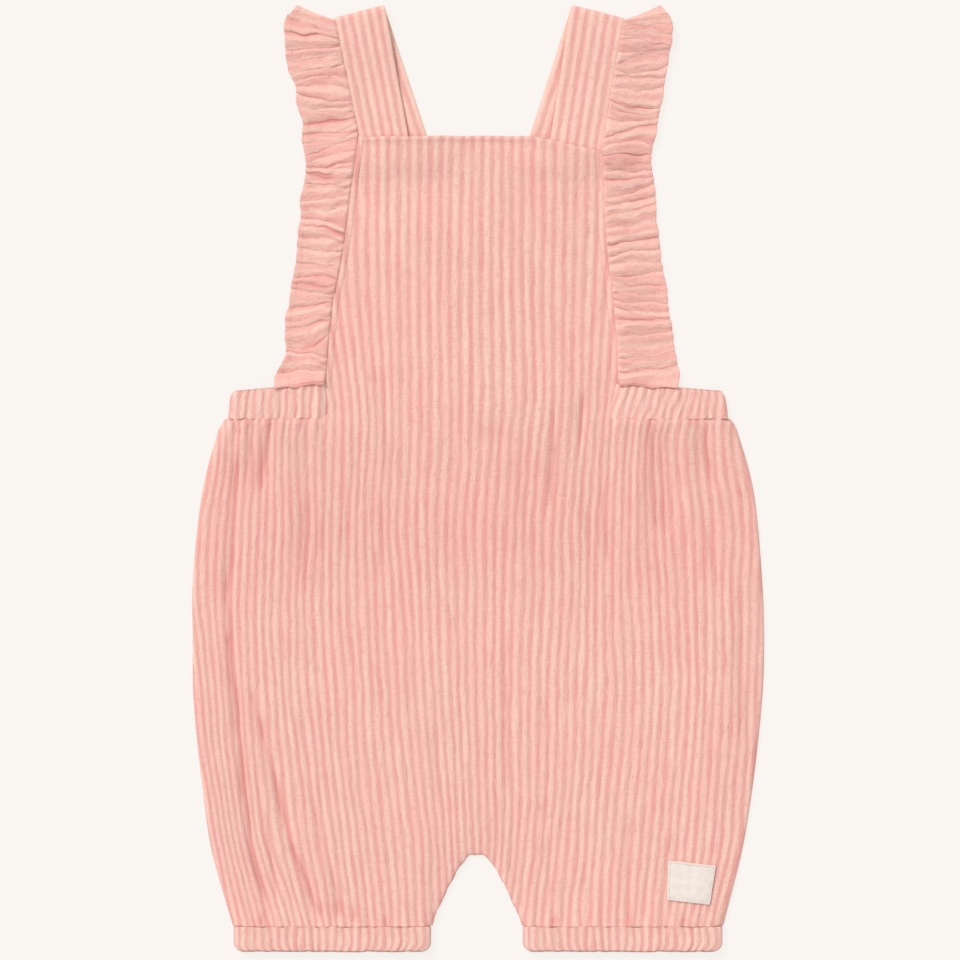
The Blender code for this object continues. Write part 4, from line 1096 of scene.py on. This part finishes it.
def strap(name, finish):
    """A tube of cloth pressed flat, folded over the shoulder."""
    own = STRAPS[name]
    wall = FOLDED_WALL
    half = STRAP_CLOTH / 2 - wall / 2
    rows, up = strap_rows(own)
    flat = np.linspace(0, 1, 26)
    bend = np.linspace(0, math.pi, 7)[1:-1]
    points, cloth = [], []
    length = 0.0
    last = None
    for outer, inner, height, tilt in rows:
        width = np.linalg.norm(inner - outer)
        direction = (inner - outer) / width
        rim = half / width
        above = [(mix(rim, 1 - rim, t), 1.0) for t in flat]
        right = [(1 - rim + rim * math.sin(a), math.cos(a)) for a in bend]
        under = [(mix(1 - rim, rim, t), -1.0) for t in flat]
        left = [(rim - rim * math.sin(a), -math.cos(a)) for a in bend]
        section = np.array(above + right + under + left)
        spot = outer[None, :] + direction[None, :] * (section[:, :1] * width)
        level = strap_back_level(own, spot[:, 1]) if height is None else np.full(len(spot), height)
        edge_fall = 0.12 * (1 - step(0.0, 2.0, np.minimum(section[:, 0], 1 - section[:, 0]) * width))
        middle = (outer + inner) / 2
        if last is not None:
            length += math.hypot(np.linalg.norm(middle - last[0]), (level[0] - last[1]))
        last = (middle, level[0])
        count = section[:, 0] * STRAP_STRIPES
        ripple = -0.10 * np.cos(2 * math.pi * (count + STRAP_PHASE)) * (section[:, 1] > 0.5)
        ripple = ripple + 0.10 * noise(count * 1.1, length / 13, 51) * (np.abs(section[:, 1]) > 0.5)
        out = section[:, 1] * half + (ripple - edge_fall) * np.sign(section[:, 1])
        x = spot[:, 0] + up[0] * out * math.sin(tilt)
        y = spot[:, 1] + up[1] * out * math.sin(tilt)
        z = np.maximum(level + out * math.cos(tilt), wall / 2)
        row = np.stack([x, y, z], axis=1)
        points.append(np.concatenate([row, row[:1]]))
        count = np.append(count, count[0])
        cloth.append(np.stack([count + STRAP_PHASE, np.full(len(count), length / STRIPE)], axis=1))
    return shell(f"{name}_cloth", np.array(points), np.array(cloth), finish, wall, ring=True)


def seam_x(name, y):
    """Where a ruffle is sewn to the bib or, above it, to the strap."""
    sign = sign_of(name)
    own = STRAPS[name.replace("ruffle", "strap")]
    outer_x, outer_y = own["fold_outer"]
    share = (y - STRAP_FRONT_END) / (outer_y - STRAP_FRONT_END)
    on_strap = mix(own["end_outer"], outer_x, share)
    on_bib = bib_side(np.minimum(y, BIB_TOP), sign)
    blended = mix(on_bib, on_strap, step(BIB_TOP - 8, BIB_TOP + 2, y))
    blended = np.minimum(blended, on_bib) if sign < 0 else np.maximum(blended, on_bib)
    x = np.where(y < BIB_TOP + 2, blended, on_strap)
    return x + sign * 0.25


def ruffle_creases(name, places):
    """Heights of a ruffle's creases at the places across it, their depths there, and the painted shade in the pockets
    between deep ones.
    """
    seam, edge, bow, depth_in, depth_out = np.array(RUFFLE_CREASES[name]).T[:, :, None]
    across_it = np.clip(places, 0.0, 1.0)
    number = np.arange(len(seam))[:, None]
    wander = 1.1 * noise(across_it * 3.7 + number * 5.3, number * 2.1, 66)
    wander = wander + 0.45 * noise(across_it * 9, number * 3.3, 67)
    free = 4 * across_it * (1 - across_it)
    lines = mix(seam, edge, across_it) + (bow + wander) * free
    for low, high in zip(lines, lines[1:]):
        high[:] = np.maximum(high, low + 0.3)
    strength = 0.75 + 0.75 * noise(across_it * 3.3, number * 1.7, 68)
    depths = np.clip(mix(depth_in, depth_out, across_it) ** 1.3 * strength, 0.0, 1.0)
    deep = np.clip((depth_in * depth_out - 0.6) / 0.3, 0.0, 1.0)
    middle = 0.5 + 0.3 * noise(number * 3.1, 0.0, 69)
    return lines, depths, deep * np.exp(-((across_it - middle) / 0.3) ** 2)


def ruffle(name, finish):
    """A gathered strip along bib and strap, folded over the shoulder and running out on the strap's back."""
    sign = sign_of(name)
    edges = RUFFLE_EDGES[name]
    tucked = np.array((-1.0, -0.6, -0.25)) * RUFFLE_TUCK / RUFFLE_WIDTH
    hem = 1 - np.array((RUFFLE_HEM, 2.6, 1.8, 0.9, 0.4, 0.15, 0.0)) / RUFFLE_WIDTH
    places = np.concatenate([tucked, [0.0, 0.01, 0.03], np.linspace(0.06, hem[0] - 0.02, 20), hem])
    lines, depths, pocket_shades = ruffle_creases(name, places)
    under = RUFFLE_CLOTH / 2
    even = np.linspace(0, 1, FOLD_STEPS + 1)[:-1]
    spread = even - 0.11 * np.sin(2 * math.pi * even)
    rows, shades = [], []
    for fold in range(len(lines) - 1):
        for t in spread if fold < len(lines) - 2 else np.append(spread, 1.0):
            y = mix(lines[fold], lines[fold + 1], t)
            depth = mix(depths[fold], depths[fold + 1], t)
            room = np.clip((lines[fold + 1] - lines[fold]) / FOLD_FULL, 0.02, 1.4) ** 0.7
            ridge = math.sin(math.pi * t ** math.exp(0.4 * math.sin(2.3 * fold + 0.9))) ** 0.8
            seam_y = y[3]
            shoulder = step(RUFFLE_SHOULDER_FROM, RUFFLE_SHOULDER_TO, seam_y)
            start = seam_x(name, seam_y)
            hidden = front_form(np.array([start - sign * 1.5]), np.array([min(seam_y, BIB_TOP)]))[0][0]
            on_strap = strap_front_level(seam_y) - 0.1
            at_seam = mix(hidden, on_strap, step(BIB_TOP - 10, BIB_TOP, seam_y)) - 1.1
            doubled = step(RUFFLE_ON_END_FROM, RUFFLE_ON_END_TO, seam_y)
            low = mix(under + 0.15, under + RUFFLE_CLOTH + SEAM, doubled)
            low = low + RUFFLE_SHOULDER * shoulder
            base = mix(at_seam + 1.65 * step(-0.034, 0.004, places), low, step(0.02, 0.85, places))
            on_casing = (1 - step(0.0, 4.0, y - lines[0])) * step(-0.01, 0.03, places)
            base = mix(base, RUFFLE_LAP, on_casing)
            swell = mix(RUFFLE_SWELL_SEAM, RUFFLE_SWELL, step(0.0, 0.7, places)) * step(-0.012, 0.03, places)
            height = swell * (0.5 * (1 - depth) + (0.3 + 0.7 * depth) * room * ridge)
            calm = 1 - step(222.0, 227.4, seam_y)
            near = 1 - step(0.05, 0.6, places)
            fine = 0.5 * noise((seam_y + 9.0 * places) / 1.3, places * 2.2 + seam_y / 31, 61) * near
            fine = fine + 0.3 * noise(y / 2.1, places * 2.6, 62) * step(0.1, 0.5, places)
            lean = 0.9 * math.sin(1.9 * fold + 0.4) * ridge * room * step(0.0, 0.4, places) * calm
            tuck = mix(1.0, 0.05, step(220.0, 227.0, seam_y))
            x = mix(start, read(edges, y[-1], 1), np.where(places < 0, places * tuck, places))
            x = x + sign * 0.4 * (ridge - 0.6) * step(0.6, 1.0, places) * calm
            z = base + height * mix(0.45, 1.0, calm) + fine * calm * step(-0.01, 0.02, places)
            drop = on_casing * mix(1.6, RUFFLE_DROP[name], np.clip(places, 0.0, 1.0))
            rows.append(np.stack([x, y + lean - drop, z], axis=1))
            gap = (lines[fold + 1] - lines[fold]) * min(t, 1 - t)
            nearest = depths[fold] if t < 0.5 else depths[fold + 1]
            pocket_shade = pocket_shades[fold] if t < 0.5 else pocket_shades[fold + 1]
            # Painted shade along each crease, in the pockets between deep creases and in the low places of the fine
            # ripples
            lined = 0.36 * np.exp(-(gap / 0.42) ** 2) + 0.2 * np.exp(-(gap / 1.6) ** 2)
            shade = nearest * lined + 0.9 * pocket_shade * np.exp(-(gap / 2.4) ** 2)
            shades.append(shade + 1.3 * np.maximum(-fine - 0.06, 0.0) * step(0.0, 0.03, places))
    front_rows = len(rows)
    peak_x, peak_y = RUFFLE_PEAK[name]
    top_seam, edge_y = lines[-1, 3], lines[-1, -1]
    start = seam_x(name, top_seam)
    edge_x = read(edges, edge_y, 1)
    last = rows[-1][:, 2]
    own = STRAPS[name.replace("ruffle", "strap")]
    over = np.maximum(places, 0.0)
    for turn in np.linspace(0, math.pi, 15)[1:-1]:
        radius = (last - under) / 2
        reach = mix(1.2, peak_y - edge_y, over**1.5)
        clear = start + sign * STRAP_CLOTH / 2 * math.sin(turn)
        x = mix(mix(start, edge_x, over), mix(clear, peak_x, over), math.sin(turn))
        y = mix(top_seam, edge_y, over) + reach * math.sin(turn)
        x = x + sign * 0.05 * np.minimum(places, 0.0)
        rows.append(np.stack([x, y, under + radius * (1 + math.cos(turn))], axis=1))
    for along in np.linspace(0, 1, 37):
        y = mix(top_seam, edge_y, over * (1 - along)) - RUFFLE_BACK_LENGTH * along
        seam = own["fold_outer"][0] + own["lean"] * (own["fold_outer"][1] - y) + sign * (SEAM + 0.9)
        wide = mix(abs(edge_x - start), RUFFLE_END_WIDTH, along**1.3)
        first = mix(start, seam, step(0.0, 0.2, along))
        pleat = 0.12 * noise(along * 19, places * 2, 64) + 0.12
        z = under + pleat * step(0.0, 0.2, along)
        x = first + sign * (wide * over + 0.05 * np.minimum(places, 0.0))
        rows.append(np.stack([x, y, z + 0.0 * y], axis=1))
    points = np.array(rows)
    painted_shade = np.zeros(points.shape[:2])
    painted_shade[:front_rows] = np.clip(np.array(shades), 0.0, 1.0)
    middle = points[:, len(places) * 2 // 3]
    run = np.concatenate([[0.0], np.cumsum(np.linalg.norm(np.diff(middle, axis=0), axis=1))])
    count = run * RUFFLE_STRIPES / run[front_rows - 1]
    fan = 0.10 * noise(count[:, None] * 0.7, places[None, :] * 2.5, 65)
    u = count[:, None] + fan
    v = np.broadcast_to(places * RUFFLE_WIDTH / STRIPE, u.shape)
    to_edge = (1 - places) * RUFFLE_WIDTH
    wall = RUFFLE_WALL + (RUFFLE_CLOTH - RUFFLE_WALL) * step(RUFFLE_HEM + 0.4, RUFFLE_HEM, to_edge)
    edge = np.broadcast_to(wall / RUFFLE_CLOTH * round_edge(to_edge, RUFFLE_CLOTH), u.shape)
    made = shell(f"{name}_cloth", points, np.stack([u, v], axis=2), finish, RUFFLE_CLOTH, edge=edge, painted_shade=painted_shade)
    return made, points[:front_rows]


def folded_end(x, sign, y, radius):
    """Half a turn round a cuff's end: from the front to the back at the right, and the other way at the left."""
    turn = np.linspace(0, math.pi, 13)
    z = BAND_BACK + CASING_RADIUS + sign * radius * np.cos(turn)
    return np.stack([x + sign * radius * np.sin(turn), np.full(turn.shape, y), z], axis=1)


def leg_cuff(name, finish):
    """A flattened elastic ring at the end of a leg, folded at the bottom, with rounded lower corners."""
    sign = sign_of(name)
    outer, inner = side(HEM, sign), CROTCH_MIDDLE + sign * (LEG_GAP + 0.3)
    radius, half, wall = CASING_RADIUS, ELASTIC_CLOTH / 2, FOLDED_WALL
    points, cloth, shades = [], [], []
    for flipped, out in casing_rows(-CUFF_TOP, -CUFF_BOTTOM):
        y = -flipped
        share = (CUFF_TOP - y) / (CUFF_TOP - CUFF_BOTTOM)
        turned = np.clip((share - 0.66) / 0.34, 0.0, 0.96)
        inset = CUFF_CORNER * (1 - math.sqrt(1 - turned**2))
        offset = out * (half - wall / 2)
        low = min(outer, inner) + half + radius + inset
        high = max(outer, inner) - half - radius - inset
        along = np.linspace(0, 1, 181)
        ends = between(along)
        wave = gather(along, CUFF_GATHERS) * ends
        ruched = gather(along, CUFF_FINE_GATHERS)
        pucker = 0.34 * (ruched - 0.4) * ends * (0.4 + 0.6 * abs(2 * share - 1))
        lift = CASING_GATHER_HEIGHT * wave + (pucker + 0.12 * noise(along * 37, y / 5, 71 + sign)) * (out > -0.5)
        waver = (0.25 * noise(along * 30, 0.0, 73) + 0.5 * (1 - share) ** 2 * noise(along * 26, 0.0, 74)) * ends
        front = np.stack([mix(low, high, along), y + waver, BAND_FRONT + offset + lift], axis=1)
        right = folded_end(high, 1, y, radius + offset)
        back = np.linspace(0, 1, 61)
        under_z = BAND_BACK - offset + 0.1 * gather(back, CUFF_FINE_GATHERS) * between(back)
        under = np.stack([mix(high, low, back), np.full(61, y), under_z], axis=1)
        left = folded_end(low, -1, y, radius + offset)
        row = np.concatenate([front, right[1:-1], under, left[1:-1], front[:1]])
        points.append(row)
        # Painted shade in the dips of the ruching, and a little over the whole front of the cuff
        dip_shade = 0.8 * np.clip(0.45 - ruched, 0.0, 1.0) * abs(1 - 2 * min(share, 1.0)) + 0.1
        shades.append(np.concatenate([dip_shade * ends, np.zeros(len(row) - len(front))]))
        run = np.concatenate([[0.0], np.cumsum(np.linalg.norm(np.diff(row[:, ::2], axis=0), axis=1))])
        count = run / (high - low) * CUFF_STRIPES + 0.10 * noise(run / 5, y / 5, 75)
        cloth.append(np.stack([count, np.full(len(row), y * out / STRIPE)], axis=1))
    points, cloth = np.array(points), np.array(cloth)
    points[:, -1] = points[:, 0]
    painted_shade = np.clip(np.array(shades), 0.0, 1.0)
    return shell(f"{name}_cloth", points, cloth, finish, wall, ring=True, painted_shade=painted_shade)


def side_label(finish):
    """A bare woven label sewn on the right leg, on the front's own surface."""
    lower_left, lower_right, upper_right, upper_left = (np.array(corner) for corner in LABEL_CORNERS)
    places = np.concatenate([[0.0, 0.01, 0.03], np.linspace(0.06, 0.94, 27), [0.97, 0.99, 1.0]])
    u, v = np.meshgrid(places, places)
    spot = [mix(mix(lower_left[k], lower_right[k], u), mix(upper_left[k], upper_right[k], u), v) for k in (0, 1)]
    rise = CLOTH / 2 + LABEL_LIFT + LABEL_CLOTH / 2
    wide, high = LABEL_SIZE
    away = np.minimum(np.minimum(u, 1 - u) * wide, np.minimum(v, 1 - v) * high)
    buckle = 0.22 * noise(u * 3, v * 2, 81) * step(0.0, 4.0, away)
    z = front_form(spot[0], spot[1])[0] + rise - 0.25 + buckle
    z = z - 0.25 * np.exp(-((away - 1.1) / 0.5) ** 2)
    points = np.stack([spot[0], spot[1], z], axis=2)
    edge = 0.6 * round_edge(away, 0.6)
    cloth = np.stack([u * wide, v * high], axis=2)
    return shell("side_label_cloth", points, cloth, finish, LABEL_CLOTH, edge=edge)


# Sewing

def on_front(xs, ys, above=0.0):
    z = front_surface(xs, ys)[0] + CLOTH / 2 + above
    return np.stack([xs, ys, z], axis=1)


def front_sewing(finish):
    xs = np.linspace(-55.0, 56.5, 220)
    top = on_front(xs, bib_top(xs) - TOP_HEM - 0.1)
    ys = np.linspace(BAND_TOP + 2, BIB_TOP - 10, 240)
    lines = [on_front(bib_side(ys, sign) - sign * (WELT + 0.2), ys) for sign in (-1, 1)]
    return stitches("front_sewing", [top, *lines], finish, length=2.1, gap=0.9, radius=0.17)


def ruffle_sewing(name, points, finish):
    """Stitches along the rolled hem."""
    hem = points[:, -7].copy()
    hem[:, 2] += 0.42
    return stitches(f"{name}_sewing", [hem], finish, length=1.6, gap=0.9, radius=0.17)


def label_sewing(finish):
    corners = [np.array(corner) for corner in LABEL_CORNERS]
    middle = sum(corners) / 4
    inner = [corner + (middle - corner) * 0.09 for corner in corners]
    paths = []
    for start, end in zip(inner, inner[1:] + inner[:1]):
        share = np.linspace(0, 1, 24)
        x, y = mix(start[0], end[0], share), mix(start[1], end[1], share)
        z = front_form(x, y)[0] + CLOTH / 2 + LABEL_LIFT + LABEL_CLOTH / 2 + 0.05
        paths.append(np.stack([x, y, z], axis=1))
    return stitches("label_sewing", paths, finish, length=1.2, gap=0.8, radius=0.13)


# Stage

VIEW_WIDTH = 480.0          # millimetres across the picture
VIEW_CENTRE = (0.75, -1.0)
LENS = 135.0
SENSOR = 36.0
WARM_WHITE = (1.0, 0.985, 0.965)
SUNS = (("key", 42.0, 43.0, 2.2, 24.0), ("fill", -120.0, 60.0, 0.4, 40.0))     # turn, height, strength, spread


def build_stage():
    bpy.ops.mesh.primitive_plane_add(size=6.0, location=(0.0, 0.0, -0.0002))
    floor = bpy.context.object
    floor.name = "floor"
    floor.data.materials.append(floor_paper("floor_paper", srgb(248, 244, 240), 0.9))
    camera = bpy.data.objects.new("camera", bpy.data.cameras.new("camera"))
    bpy.context.scene.collection.objects.link(camera)
    camera.data.lens = LENS
    camera.data.sensor_width = SENSOR
    distance = VIEW_WIDTH * MM * LENS / SENSOR
    camera.location = (VIEW_CENTRE[0] * MM, VIEW_CENTRE[1] * MM, distance)
    camera.data.clip_end = 20.0
    bpy.context.scene.camera = camera
    world = bpy.data.worlds.new("studio")
    world.use_nodes = True
    backdrop = world.node_tree.nodes["Background"]
    backdrop.inputs["Color"].default_value = (*WARM_WHITE, 1.0)
    backdrop.inputs["Strength"].default_value = 0.535
    bpy.context.scene.world = world
    for name, turn, height, strength, spread in SUNS:
        sun = bpy.data.lights.new(name, "SUN")
        sun.energy = strength
        sun.angle = math.radians(spread)
        sun.color = WARM_WHITE
        lamp = bpy.data.objects.new(name, sun)
        bpy.context.scene.collection.objects.link(lamp)
        lamp.rotation_euler = (math.radians(90 - height), 0.0, math.radians(180 + turn))
    bpy.context.scene.view_settings.view_transform = "Standard"


def main():
    build_stage()
    # The copies of the striped cloth differ in painted light and painted shade as well as in contrast and crinkle
    panel = striped_cotton("striped_cotton", 1.0, contrast=1.04, light=0.03)
    strap_cotton = striped_cotton("strap_cotton", 8.0, contrast=1.3, light=0.12)
    frill = striped_cotton("ruffle_cotton", 14.0, crush=1.4, contrast=0.8, painted_shade_share=0.52, light=0.12)
    casing = striped_cotton("casing_cotton", 27.0, crush=1.2, contrast=1.5, light=0.16)
    woven = label_cotton("label_cotton")
    pink_thread = thread("pink_thread", THREAD_PINK)
    dark_thread = thread("dark_thread", THREAD_DARK)
    cream_thread = thread("cream_thread", srgb(232, 220, 210))

    def place(piece, node, slot):
        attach(piece, "root")
        if node:
            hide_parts(node)
        return piece

    back = place(back_cloth(panel), "back_panel", "striped_cotton")
    sewing = place(front_sewing(pink_thread), None, "striped_cotton")
    front = place(front_cloth(panel), "front_panel", "striped_cotton")
    band = place(waistband(casing), "waistband", "casing_cotton")
    for name in STRAPS:
        made = place(strap(name, strap_cotton), name, "striped_cotton")
    for name in RUFFLE_EDGES:
        made, points = ruffle(name, frill)
        place(made, name, "ruffle_cotton")
        hem = place(ruffle_sewing(name, points, dark_thread), None, "ruffle_cotton")
    for name in ("leg_cuff_left", "leg_cuff_right"):
        made = place(leg_cuff(name, casing), name, "casing_cotton")
    label_threads = place(label_sewing(cream_thread), None, "label_cotton")
    label = place(side_label(woven), "side_label", "label_cotton")


main()
